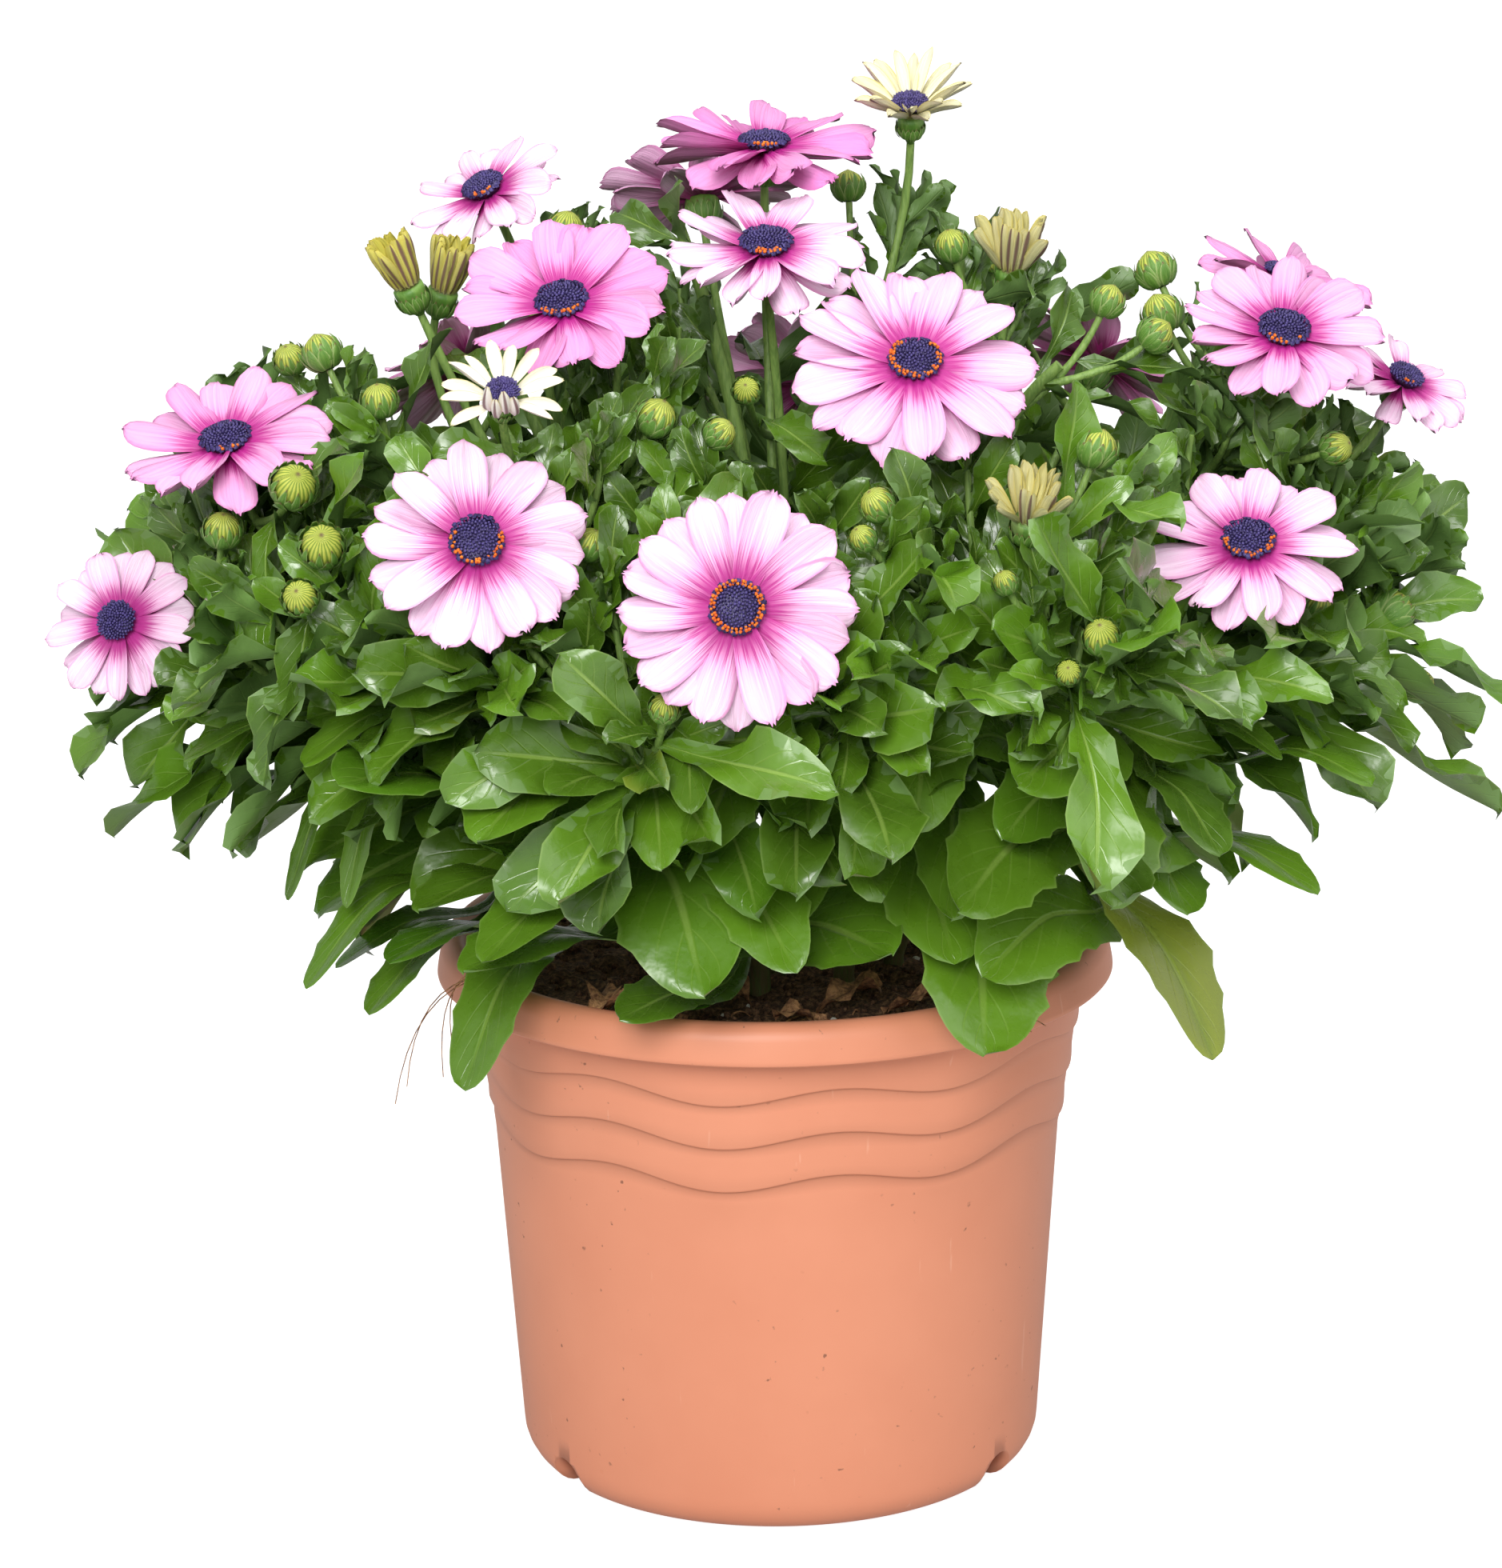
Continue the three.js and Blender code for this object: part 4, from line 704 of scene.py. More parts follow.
print("flowers, stems, large leaves:", len(FLOWERS + YOUNG_FLOWERS), len(STEMS), len(LARGE_LEAVES))

# %% [markdown]
# ## Where each stem runs
#
# A stem of this plant is a woody trunk that forks into shoots, and each shoot ends in a bloom, a bud or a
# tuft of young leaves. In the CAD part a shoot that met another one was bent aside. The same bends are
# tried here, and the one that lies nearest to the CAD surface is the right one. A BVH tree answers such
# nearest-point questions quickly.

# %% Trunks, shoots and bud stalks
SOIL_TOP = 129.5
HOLE_DEPTH = 16
TRUNK_RADIUS = 2.9
RADIUS = {"flower": 1.25, "tip": 1.75, "bud": 1.0}
LEAF_NODES = {"flower": (0.3, 0.58), "tip": (0.5, 0.92), "bud": (0.6,)}
CUP_DEPTH = 8.8  # from a flower's middle back to the end of its bare stalk
SHUT_LIFT = 60  # petals lifted more than this stand together in a shut flower
SWAYS = (0.001, 5, -5, 10, -10, 15, -15, 21, -21, 28, -28)
BUD_DROP = 24
NEAR_CAD = 3.0  # a stalk further than this from the CAD surface has no place in the CAD part

Shoot = namedtuple("Shoot", "stem what path seed size name")


def cad_surface(node):
    mesh = frame["nodes"][node].data
    return BVHTree.FromPolygons([v.co for v in mesh.vertices], [p.vertices for p in mesh.polygons])


def misfit(surface, points):
    """The mean distance of the points from a CAD surface."""
    return sum(surface.find_nearest(Vector(point * MM))[3] for point in points) / len(points) / MM


def fitting(surface, paths):
    """The path that lies nearest to a CAD surface."""
    parts = (0.3, 0.45, 0.6, 0.75, 0.9)
    return min(paths, key=lambda path: misfit(surface, [path.at(part) for part in parts]))


def trunk_of(stem):
    x, y = stem.foot
    knee, fork = np.array([x, y, SOIL_TOP + 6]), np.array(stem.fork, float)
    middle = (knee + fork) / 2 + (-0.05 * x, -0.05 * y, 3)
    bottom = SOIL_TOP - HOLE_DEPTH
    return through([(x, y, bottom), (x, y, (bottom + SOIL_TOP) / 2), knee, middle, fork])


def ways_between(start, end, arrival):
    reach = np.linalg.norm(end - start)
    arm = 0.3 * np.array([end[0] - start[0], end[1] - start[1], reach])
    side = unit(np.cross(UP, end - start))
    return [bend(start, start + arm + side * sway, end - arrival * reach * 0.27 + side * sway / 2, end)
            for sway in SWAYS]


def bud_ways(carriers, end):
    choices = []
    for carrier in carriers:
        for part in np.arange(0.1, 0.951, 0.05):
            start = carrier.path.at(part)
            if end[2] - start[2] > 6:
                cost = np.linalg.norm(end - start) + 0.8 * abs(end[2] - start[2] - BUD_DROP)
                choices.append((cost, tuple(start)))
    ways = []
    for _, start in sorted(choices)[:24]:
        start = np.array(start)
        middle = start + 0.7 * (end - start)
        middle[2] = (start[2] + end[2]) / 2 - 2
        ways.append(arc(start, middle, end))
    return ways


blooms = {flower.name: flower for flower in FLOWERS + YOUNG_FLOWERS}
surfaces = {stem.name: cad_surface(f"leafy_stem_{stem.name}") for stem in STEMS}
trunks = {stem.name: trunk_of(stem) for stem in STEMS}
shoots = []
for number, stem in enumerate(STEMS):
    surface = surfaces[stem.name]
    start = trunks[stem.name].at(0.97)
    own_shoots = []

    def keep(what, paths, size=0.0, name=""):
        path = fitting(surface, paths)
        in_cad = sum(misfit(surface, [other.path.at(0.7)]) < NEAR_CAD for other in own_shoots)
        own_shoots.append(Shoot(stem.name, what, path, 300 + 20 * number + in_cad, size, name))

    for name in stem.flowers:
        look = facing(*blooms[name].look)
        end = np.array(blooms[name].at) - look * CUP_DEPTH
        keep("flower", ways_between(start, end, look), name=name)
    for tip in stem.tips:
        end = np.array(tip, float)
        keep("tip", ways_between(start, end, unit((tip[0], tip[1], 60))))
    carriers = list(own_shoots)
    for x, y, z, across in stem.buds:
        keep("bud", bud_ways(carriers, np.array([x, y, z - across / 2])), size=across / 2)
    shoots += own_shoots
print(len(shoots), "shoots, worst distance from the CAD in mm:",
      round(max(misfit(surfaces[s.stem], [s.path.at(0.7)]) for s in shoots), 2))

# %% [markdown]
# ## Where each leaf grows
#
# The CAD part has the large leaves that give the plant its outline, and a few small ones at each node.
# They are found again in the same way. Between them a real plant is full of more leaves, so the loop below
# tries further places along every shoot, and keeps a leaf only where it stays clear of blooms, buds, the
# pot and the other leaves.

# %% The leaves of the CAD part
Leaf = namedtuple("Leaf", "stem root tip face width")

LEAF_SHIFTS = ((0, 0), (0, 4), (0, -4), (4, 3), (-4, 3), (7, 0), (-7, 0), (8, -7), (-8, -7),
               (12, 5), (-12, 5))  # turn in degrees and lift of a large leaf's tip
LEAF_LEANS = ((0, 0.25), (0.3, 0.5), (-0.3, 0), (0, 0.9), (0.5, -0.4), (-0.6, 0.6))
LEAF_SIDES = {"flower": (0, 2), "tip": (0, 1, 3), "bud": (0, 2)}
SIDES = 5
LEAF_ROOT = 2.8
LEAF_DROOP = 0.16
LOW_LEAF = (170, 52, 21)  # height on the plant, then the length and width of the leaves there
HIGH_LEAF = (310, 27, 11.5)
SAME_PLACE = 0.8  # a leaf further than this from the CAD surface isn't in the CAD part


def large_leaf(plan, used):
    """The stem, the spine and the upper side of a large leaf, as they lie in the CAD part."""
    base, tip, _, sag = (np.array(value, float) for value in plan)
    offers = []
    for shoot in shoots:
        if shoot.what != "bud":
            offers += [(shoot.stem, shoot.path.at(part), 0) for part in np.arange(0.02, 0.701, 0.04)]
    for name, trunk in trunks.items():
        offers += [(name, trunk.at(part), 3) for part in np.arange(0.55, 0.951, 0.1)]
    free = [(np.linalg.norm(root - base) + extra, i) for i, (name, root, extra) in enumerate(offers)
            if np.linalg.norm(root - tip) >= 0.9 * np.linalg.norm(tip - base)
            and all(other != name or np.linalg.norm(root - place) >= 3.5 for other, place in used)]
    best = None
    for _, i in sorted(free)[:16]:
        name, root, _ = offers[i]
        for turn, lift in LEAF_SHIFTS:
            near, far = root + turned(base - root, turn), root + turned(tip - root, turn) + UP * lift
            spine = through([root, near, (near + far) / 2 - UP * sag, far])
            off = misfit(surfaces[name], [spine.at(t) for t in (0.6, 0.84, 0.98)])
            if best is None or off < best[0]:
                face = square_to(outward(near + far) * 0.75 + UP * 0.8, unit(far - near))
                best = (off, name, root, spine, face)
        if best and best[0] < 0.3:
            break
    return best


used_roots, large_leaves = [], []
for plan in LARGE_LEAVES:
    off, name, root, spine, face = large_leaf(plan, used_roots)
    used_roots.append((name, root))
    large_leaves.append((name, spine, face, plan[2]))
    if off > SAME_PLACE:
        print("large leaf off the CAD by", round(off, 1), "mm:", plan)


def leaf_size(height):
    rank = share_of(height, LOW_LEAF[0], HIGH_LEAF[0])
    return [low + (high - low) * rank for low, high in zip(LOW_LEAF[1:], HIGH_LEAF[1:])]


def leaf_from(stem, root, heading, length, width):
    across = unit(np.cross(outward(root) * 1.1 + UP, heading))
    tip = root + heading * length - UP * length * LEAF_DROOP
    return Leaf(stem, root, tip, unit(np.cross(heading, across)), width)


def cad_leaves(shoot):
    """The small leaves on a shoot's sides, as the CAD part places them."""
    path, seed, radius = shoot.path, shoot.seed, RADIUS[shoot.what] * 1.1
    span = LEAF_ROOT / 2 / path.length()
    normal, found = None, []
    for part in [0.0] + [edge for node in LEAF_NODES[shoot.what] for edge in (node - span, node + span)]:
        along = path.along(part)
        if normal is None:
            normal = np.array([1.0, 0, 0]) if abs(along[2]) > 0.9 else UP
        normal = square_to(normal, along)
        second = np.cross(along, normal)
        turns = [2 * math.pi * side / SIDES for side in range(SIDES + 1)]
        ring = [path.at(part) + radius * (normal * math.cos(t) + second * math.sin(t)) for t in turns]
        found.append((along, ring))
    leaves = []
    for number in range(len(LEAF_NODES[shoot.what])):
        (along, low), (_, high) = found[1 + 2 * number], found[2 + 2 * number]
        for side in range(SIDES):
            offset = (side - number * 2 - math.floor(SIDES * draw(seed, 60)) + 4 * SIDES) % SIDES
            if offset not in LEAF_SIDES[shoot.what]:
                continue
            corners = (low[side], low[side + 1], high[side + 1], high[side])
            root = sum(corners) / 4
            out = unit(np.cross(corners[1] - corners[0], corners[3] - corners[0]))
            length, width = leaf_size(corners[0][2])
            length *= 0.85 + 0.3 * draw(seed, 10 * number + side)
            tries = []
            for lean, rise in LEAF_LEANS:
                heading = unit(out + outward(corners[0]) * (0.35 + lean) + along * (0.3 + rise))
                broadest = root + heading * length * 0.66 - UP * length * LEAF_DROOP * 0.66**2
                leaf = leaf_from(shoot.stem, root, heading, length, width)
                probes = ((root + broadest) / 2, broadest, (broadest + leaf.tip) / 2)
                tries.append((misfit(surfaces[shoot.stem], probes), lean, leaf))
            off, _, leaf = min(tries, key=lambda one: one[0])
            if off < SAME_PLACE:
                leaves.append(leaf)
    return leaves


leaves = [leaf for shoot in shoots for leaf in cad_leaves(shoot)]
print(len(large_leaves), "large leaves and", len(leaves), "small ones from the CAD part")

# %% [markdown]
# ## Filling the plant
#
# A real plant carries far more leaves than a CAD part should. First come sprigs, short shoots that end just
# inside a dome over the plant. Then small leaves grow along every shoot. Low ones spread, and high ones
# stand up round their shoot. A leaf is kept only where it has room and hides no flower.

# %% The leaves that fill the plant
CLEAR_OF_LEAF = ((185, 225, 265), (8.5, 5.0, 2.6))  # heights, and the room that a leaf needs there
RIM_CLEARANCE = (139, 62)  # below this height leaves stay within this radius, clear of the rim
WINDOW_TOP, WINDOW_FRONT, WINDOW_HALF = 166, -8, 44  # the part where the soil shows under the leaves
camera_place = np.array(CAMERA_AT)
taken = [spine.at(t) for _, spine, _, _ in large_leaves for t in (0.4, 0.6, 0.8, 0.97)]
taken += [leaf.root + (leaf.tip - leaf.root) * t for leaf in leaves for t in (0.5, 0.8, 1.0)]
bud_spots = [(s.path.at(1) + s.path.along(1) * s.size, s.size) for s in shoots if s.what == "bud"]
bloom_spots = [(np.array(f.at, float), facing(*f.look), f.width / 2) for f in FLOWERS + YOUNG_FLOWERS]


def hides(point, spot, room):
    """Whether a point stands between the camera and a round spot."""
    view = unit(camera_place - spot)
    ahead = float(np.dot(point - spot, view))
    return ahead > 0 and np.linalg.norm(point - spot - view * ahead) < room


def free_spot(point):
    """Whether a leaf may reach a point: over the soil, in the CAD's box, and clear of blooms and buds."""
    x, y, z = point
    over_soil = z >= SOIL_TOP + 4 and (z >= RIM_CLEARANCE[0] or math.hypot(x, y) <= RIM_CLEARANCE[1])
    in_window = z < WINDOW_TOP and y < WINDOW_FRONT and abs(x) < WINDOW_HALF
    in_box = all(low <= c * MM <= high for low, c, high in zip(cad_low, point, cad_high))
    if not over_soil or in_window or not in_box:
        return False
    for spot, look, half in bloom_spots:
        height = float(np.dot(point - spot, look))
        beside = np.linalg.norm(point - spot - look * height)
        if (-3 < height < 16 and beside < half + 2) or hides(point, spot, half * 0.85):
            return False
    return not any(np.linalg.norm(point - spot) < half + 2.5 or hides(point, spot, half + 0.5)
                   for spot, half in bud_spots)


def try_leaf(leaf):
    """Keeps a leaf if it has room, and tells whether it was kept."""
    points = [leaf.root + (leaf.tip - leaf.root) * t for t in (0.45, 0.75, 1.0)]
    if not all(free_spot(point) for point in points):
        return False
    near = np.array(taken)
    room = np.interp(leaf.root[2], *CLEAR_OF_LEAF)
    if min(np.linalg.norm(near - point, axis=1).min() for point in points) < room:
        return False
    taken.extend(points)
    leaves.append(leaf)
    return True


SPRIGS = 320
DOME_MIDDLE, DOME_REACH = np.array([0.0, 0, 196]), np.array([160.0, 120, 124])
GOLDEN_TURN = 2.39996  # spreads the sprigs evenly over the dome
SPRIG_RISE, SPRIG_ROOM, SPRIG_REACH = 52, 15, (12, 95)
RADIUS["sprig"] = 1.0


def sprig(k, joints):
    """A short shoot from the best joint of the others to a place inside the dome."""
    sine = 0.25 + 0.74 * (k + 0.5) / SPRIGS
    out = np.array([math.cos(GOLDEN_TURN * k), math.sin(GOLDEN_TURN * k), 0])
    out = out * math.sqrt(1 - sine * sine) + UP * sine
    tip = DOME_MIDDLE + DOME_REACH * out * spread(k, 12, 0.86, 1.0)
    carrier, start = min(joints, key=lambda joint: (
        np.linalg.norm(joint[1] - tip) + abs(tip[2] - joint[1][2] - SPRIG_RISE)))
    reach = np.linalg.norm(tip - start)
    arrival = unit(out * 0.45 + UP)
    path = bend(start, start + unit(tip - start) * reach * 0.3, tip - arrival * reach * 0.3, tip)
    return Shoot(carrier.stem, "sprig", path, 700 + k, 0.0, ""), reach


carriers = [shoot for shoot in shoots if shoot.what != "bud"]
joints = [(shoot, shoot.path.at(part)) for shoot in carriers for part in np.arange(0.1, 0.96, 0.05)]
sprig_tips = []
for k in range(SPRIGS):
    shoot, reach = sprig(k, joints)
    tip = shoot.path.at(1)
    crowded = any(np.linalg.norm(other - tip) < SPRIG_ROOM for other in sprig_tips)
    is_free = all(free_spot(shoot.path.at(part)) for part in (0.4, 0.6, 0.8, 1.0))
    if not crowded and SPRIG_REACH[0] < reach < SPRIG_REACH[1] and is_free:
        shoots.append(shoot)
        sprig_tips.append(tip)
print(sum(shoot.what == "sprig" for shoot in shoots), "sprigs")

FILL_NODES = {
    "flower": (0.06, 0.12, 0.18, 0.24, 0.36, 0.42, 0.48, 0.54, 0.62, 0.7, 0.78),
    "tip": (0.08, 0.16, 0.24, 0.32, 0.4, 0.58, 0.66, 0.74, 0.8, 0.86, 0.91, 0.96, 1.0),
    "sprig": (0.3, 0.45, 0.58, 0.68, 0.77, 0.85, 0.92, 0.97, 1.0),
    "bud": (0.2, 0.45, 0.7),
}
UPRIGHT_HEIGHTS = (205, 245)  # leaves spread below the first and stand up above the second
for shoot in shoots:
    for number, part in enumerate(FILL_NODES[shoot.what]):
        along = shoot.path.along(part)
        first = square_to(np.array([1.0, 0, 0]) if abs(along[2]) > 0.9 else UP, along)
        for side in range(3 if shoot.what in ("tip", "sprig") and part > 0.75 else 2):
            turn = 2.4 * number + 2.3 * side + spread(shoot.seed, number, 0, 1)
            out = first * math.cos(turn) + np.cross(along, first) * math.sin(turn)
            root = shoot.path.at(part)
            length, width = leaf_size(root[2])
            shrink = spread(shoot.seed + 7, 3 * number + side, 0.5, 0.88)
            shrink += np.interp(root[2], (190, 240), (0.25, 0))
            shrink *= 0.6 if shoot.what == "bud" else 0.8 if part > 0.9 else 1
            upright = share_of(root[2], *UPRIGHT_HEIGHTS)
            leaning = outward(root) * 0.45 * (1 - 0.6 * upright)
            for rise in (0.3, 0.9, -0.1):
                lifted = along * (rise + 0.5 * upright) + UP * 1.1 * upright
                heading = unit(out + leaning + lifted)
                broad = width * shrink * (1.1 - 0.2 * upright)
                leaf = leaf_from(shoot.stem, root, heading, length * shrink, broad)
                roll = spread(shoot.seed + 9, 3 * number + side, -0.7, 0.7)
                roll = Matrix.Rotation(roll, 3, Vector(heading))
                if try_leaf(leaf._replace(face=np.array(roll @ Vector(leaf.face)))):
                    break
print(len(leaves), "small leaves in all")

# %% [markdown]
# ## The looks of leaves and stems
#
# A leaf's colour follows its own shape: a pale midrib and side veins, a thin pale margin, and a paler,
# greyer underside. The leaf carries its place across and along as UV coordinates, so the veins bend with
# it. Two more numbers on each leaf, `age` and `tint`, vary its green, darken the upper leaves as painted
# shade, and turn a few old ones yellow.

# %% Leaf and stem finishes
def leaf_finish():
    look = Look("leaf", 0.34, 1.7)
    _, along, edge = look.surface()
    age, tint, under = look.own("age"), look.own("tint"), look.own("under")
    # painted shade: the upper leaves carry the highest age, and the ramp's top stops are a darker green
    # that stands in for their shade
    look.ramp(age * 0.6 + tint * 0.45, [(0.0, rgb(70, 114, 20)), (0.3, rgb(96, 138, 28)),
                                        (0.6, rgb(66, 98, 22)), (1.0, rgb(74, 104, 28))])
    mottling = look.noise(140, 3, 0.6).step(0.35, 0.75)
    look.paint(mottling * 0.3, rgb(104, 146, 40))
    wave = abs((along * 8.0 - edge * 2.6).calc("FRACT") - 0.5)
    side_vein = wave.step(0.09, 0.0) * edge.step(0.9, 0.3)
    midrib = edge.step(0.085, 0.03) * along.step(1.0, 0.55)
    vein = (side_vein * 0.3).calc("MAXIMUM", midrib)
    look.paint(vein * 0.5, rgb(156, 186, 88))
    look.paint((tint + edge * 0.04).step(0.95, 1.0) * 0.75, rgb(158, 168, 58))  # the oldest turn yellow
    look.paint(edge.step(0.92, 1.0) * 0.35, rgb(150, 178, 96))
    look.paint(under * 0.5, rgb(116, 150, 88))
    dull = under * 0.25 + mottling * 0.12 + 0.24
    look.tree.links.new(dull.socket, look.sockets["Roughness"])
    return look.finished(look.noise(260, 2) * 0.8 - vein, 0.5, 0.5)


def stem_finish():
    look = Look("stem", 0.5)
    place = look.place()
    look.paint(look.parts(place)[2].step(0.135, 0.185), rgb(136, 168, 84), rgb(112, 104, 66))
    streaks = look.value("ShaderNodeMapping", inputs={0: place, "Scale": (1.0, 1.0, 0.12)})
    lines = look.noise(1400, 2, 0.6, streaks).step(0.4, 0.65)
    look.paint(lines * 0.5, rgb(84, 122, 50))
    return look.finished(lines, 0.4, 0.2)


def bud_finish():
    """The folded petals of a bud: green and cream stripes that meet at the tip."""
    look = Look("bud", 0.5)
    across, along, _ = look.surface()
    stripe = (across * 48.0).calc("PINGPONG", 1.0)
    look.paint(stripe.step(0.2, 0.7), rgb(198, 204, 88), rgb(130, 154, 54))
    look.paint(along.step(0.6, 0.2), rgb(76, 118, 44))
    look.paint(along.step(0.93, 1.0), rgb(116, 96, 62))
    return look.finished(stripe, 0.5, 0.3)


def bract_finish():
    """The pointed green bracts round a bud or under a flower."""
    look = Look("bract", 0.48)
    across, along, edge = look.surface()
    lines = look.noise(6.0, 2, 0.5, look.drawn_out(across, along, 2.4, 0.3)).step(0.4, 0.62)
    look.paint(lines * 0.5, rgb(134, 172, 80), rgb(88, 134, 48))
    look.paint(edge.step(0.55, 1.0) * 0.7, rgb(176, 196, 124))
    look.paint(along.step(0.86, 1.0), rgb(120, 92, 60))
    return look.finished(lines, 0.4, 0.2)


LEAF_GREEN, STEM_GREEN, BUD_GREEN, BRACT_GREEN = leaf_finish(), stem_finish(), bud_finish(), bract_finish()
print("finishes:", [finish.name for finish in (LEAF_GREEN, STEM_GREEN, BUD_GREEN, BRACT_GREEN)])

# %% [markdown]
# ## Leaf blades
#
# This plant's leaves are narrow where they leave the stem and broad near the tip, with one to three coarse
# teeth on each side. One function gives that outline. It shapes both the few large leaves, each along its
# own spine, and a set of unit leaves, one unit long and one wide, that the copying tree sizes and turns.

# %% Blades along a spine
BROADEST, ROUND_END = 0.7, 0.3  # shares of a leaf's length: up to its broadest place, and from there on
TEETH_EVERY = 3  # rows from one tooth of a leaf's margin to the next


def leaf_half_width(part):
    """Half a leaf's width, 0.5 at its broadest: a narrow winged stalk, a broad blade and a round tip."""
    if part < BROADEST:
        x = part / BROADEST
        return 0.5 * (0.15 + 0.85 * (x * x * (3 - 2 * x)) ** 1.15)
    return 0.5 * max(1 - ((part - BROADEST) / ROUND_END) ** 2, 0) ** 0.55


def leaf_rows(rows):
    """Where along a leaf its rows lie, closer together towards its round tip."""
    return [1 - (1 - r / (rows - 1)) ** 1.35 for r in range(rows)]


def leaf_grid(place, face, half, rows, columns, seed, fold=0.2, wave=0.06, bite=1.0):
    """The middle surface of a leaf with its midrib along place and its upper side towards face."""
    grid = np.zeros((rows, columns, 3))
    phase = 6.3 * draw(seed, 3)
    for r, part in enumerate(leaf_rows(rows)):
        along = unit(place(min(part + 0.01, 1)) - place(max(part - 0.01, 0)))
        across = unit(np.cross(face, along))
        normal = np.cross(along, across)
        wide = leaf_half_width(part) * 2 * half
        for c in range(columns):
            share = 2 * c / (columns - 1) - 1
            side = 1 if share > 0 else -1
            first = 1 if side > 0 else math.floor(3 * draw(seed, 5))
            toothed = 0.4 < part < 0.9 and (r + first) % TEETH_EVERY == 0
            tooth = bite * spread(seed + side, r, 0.04, 0.13) if toothed else -0.03 * (part > 0.4)
            reach = wide * share * (1 + tooth * share**4)
            ripple = wave * half * share * share * math.sin(13 * part + phase + 1.5 * side)
            sway = 0.05 * half * math.sin(6 * part + 2 * phase)
            lift = fold * abs(reach) * (1 - 0.35 * abs(share)) + ripple + sway
            grid[r, c] = place(part) + across * reach + normal * lift
    return grid


def large_leaf_mesh(number):
    _, spine, face, width = large_leaves[number]
    broader = 1.5 if spine.at(1)[2] < 150 else 1.2  # low leaves are the broadest
    grid = leaf_grid(spine.at, face, width / 2 * broader, 24, 9, 50 + number)
    mesh = blade(f"large_leaf_{number}", grid, 0.45, LEAF_GREEN)
    x, _, z = spine.at(1)
    is_old = x > 90 and z < 128  # the lowest leaf on the right turns yellow
    marks = {"tint": 0.98 if is_old else 0.9 * draw(number, 91), "age": 0.4 * draw(number, 92)}
    for label, value in marks.items():
        values = mesh.attributes.new(label, "FLOAT", "POINT").data
        values.foreach_set("value", [value] * len(values))
    return mesh


def unit_leaf(number):
    """A leaf from (0, 0, 0) to (1, 0, 0), given in metres because the copies carry the real size."""
    arch = spread(number, 61, 0.08, 0.3)
    bow = spread(number, 62, -0.08, 0.08)

    def place(part):
        return np.array([part, bow * math.sin(math.pi * part), arch * (part - part * part)])
    grid = leaf_grid(place, UP, 0.5, 12, 5, 80 + number, fold=0.26, wave=0.12, bite=0.6)
    return blade(f"unit_leaf_{number}", grid, 0.014, LEAF_GREEN, 1 / MM)


LEAF_KINDS = 8
UNIT_LEAVES = collection_of("unit_leaves", [unit_leaf(number) for number in range(LEAF_KINDS)])
print("a large leaf has", len(large_leaf_mesh(0).polygons), "faces, a small one",
      len(UNIT_LEAVES.objects[0].data.polygons))

# %% [markdown]
# ## Stalks
#
# A stalk is a line of points with a thickness at each. The second Geometry Nodes tree turns the line into a
# curve, widens it by that thickness and sweeps a circle along it. `Fill Caps` closes the ends, so each
# stalk stays a sound solid.

# %% The stalk tree
stalk_tree, given = new_tree("stalks", {"Sides": "Int", "Finish": "Material"})
thick = carried(stalk_tree, "thick", "FLOAT")
line = add(stalk_tree, "GeometryNodeMeshToCurve", {0: given["Geometry"]}).outputs[0]
line = add(stalk_tree, "GeometryNodeSetCurveRadius", {"Curve": line, "Radius": thick}).outputs[0]
ring = add(stalk_tree, "GeometryNodeCurvePrimitiveCircle", {"Resolution": given["Sides"], "Radius": 1.0})
sweep = add(stalk_tree, "GeometryNodeCurveToMesh", {
    "Curve": line, "Profile Curve": ring.outputs[0], "Fill Caps": True})
if "Scale" in sweep.inputs:
    stalk_tree.links.new(thick, sweep.inputs["Scale"])
smooth = add(stalk_tree, "GeometryNodeSetShadeSmooth", {0: sweep.outputs[0], "Shade Smooth": True})
end_tree(stalk_tree, smooth.outputs[0], given["Finish"])


def stalk_mesh(name, lines, finish=None):
    """A closed stalk along each (path, start radius, end radius, points) line."""
    corners, edges, thick = [], [], []
    for path, first, last, count in lines:
        for i in range(count):
            part = i / (count - 1)
            if i:
                edges.append((len(corners) - 1, len(corners)))
            corners.append(tuple(path.at(part) * MM))
            swelling = 1 + 0.08 * math.sin(19 * part + len(corners))
            thick.append((first + (last - first) * part) * swelling * MM)
    made = bpy.data.meshes.new(name)
    made.from_pydata(corners, edges, [])
    made.attributes.new("thick", "FLOAT", "POINT").data.foreach_set("value", np.array(thick, np.float32))
    return grow(name, stalk_tree, made, Sides=7, Finish=finish or STEM_GREEN)


print("a stalk of 10 points has",
      len(stalk_mesh("test_stalk", [(trunks["front"], 2.9, 2.5, 10)]).polygons), "faces")

# %% [markdown]
# ## Cups and buds
#
# Under each flower sits a green cup of narrow overlapping bracts, and a bud is a round head in the same
# bracts with its folded petals showing at the top. Both have a smooth core turned on an axis, and rows of
# copied bracts that hug it.

# %% Cups, buds and their bracts
def spun(name, center, axis, profile, sides, material, ripple=0.0, ripples=12):
    """A closed shape turned round an axis. The profile runs from one pole to the other."""
    x, y = round_about(axis)
    turns = 2 * math.pi * np.arange(sides) / sides
    rim = np.outer(np.cos(turns), x) + np.outer(np.sin(turns), y)
    rim *= (1 + ripple * np.cos(ripples * turns))[:, None]
    first, *rings, last = [center + axis * height + rim * radius for radius, height in profile]
    return ringed(name, first[0], rings, last[0], material)


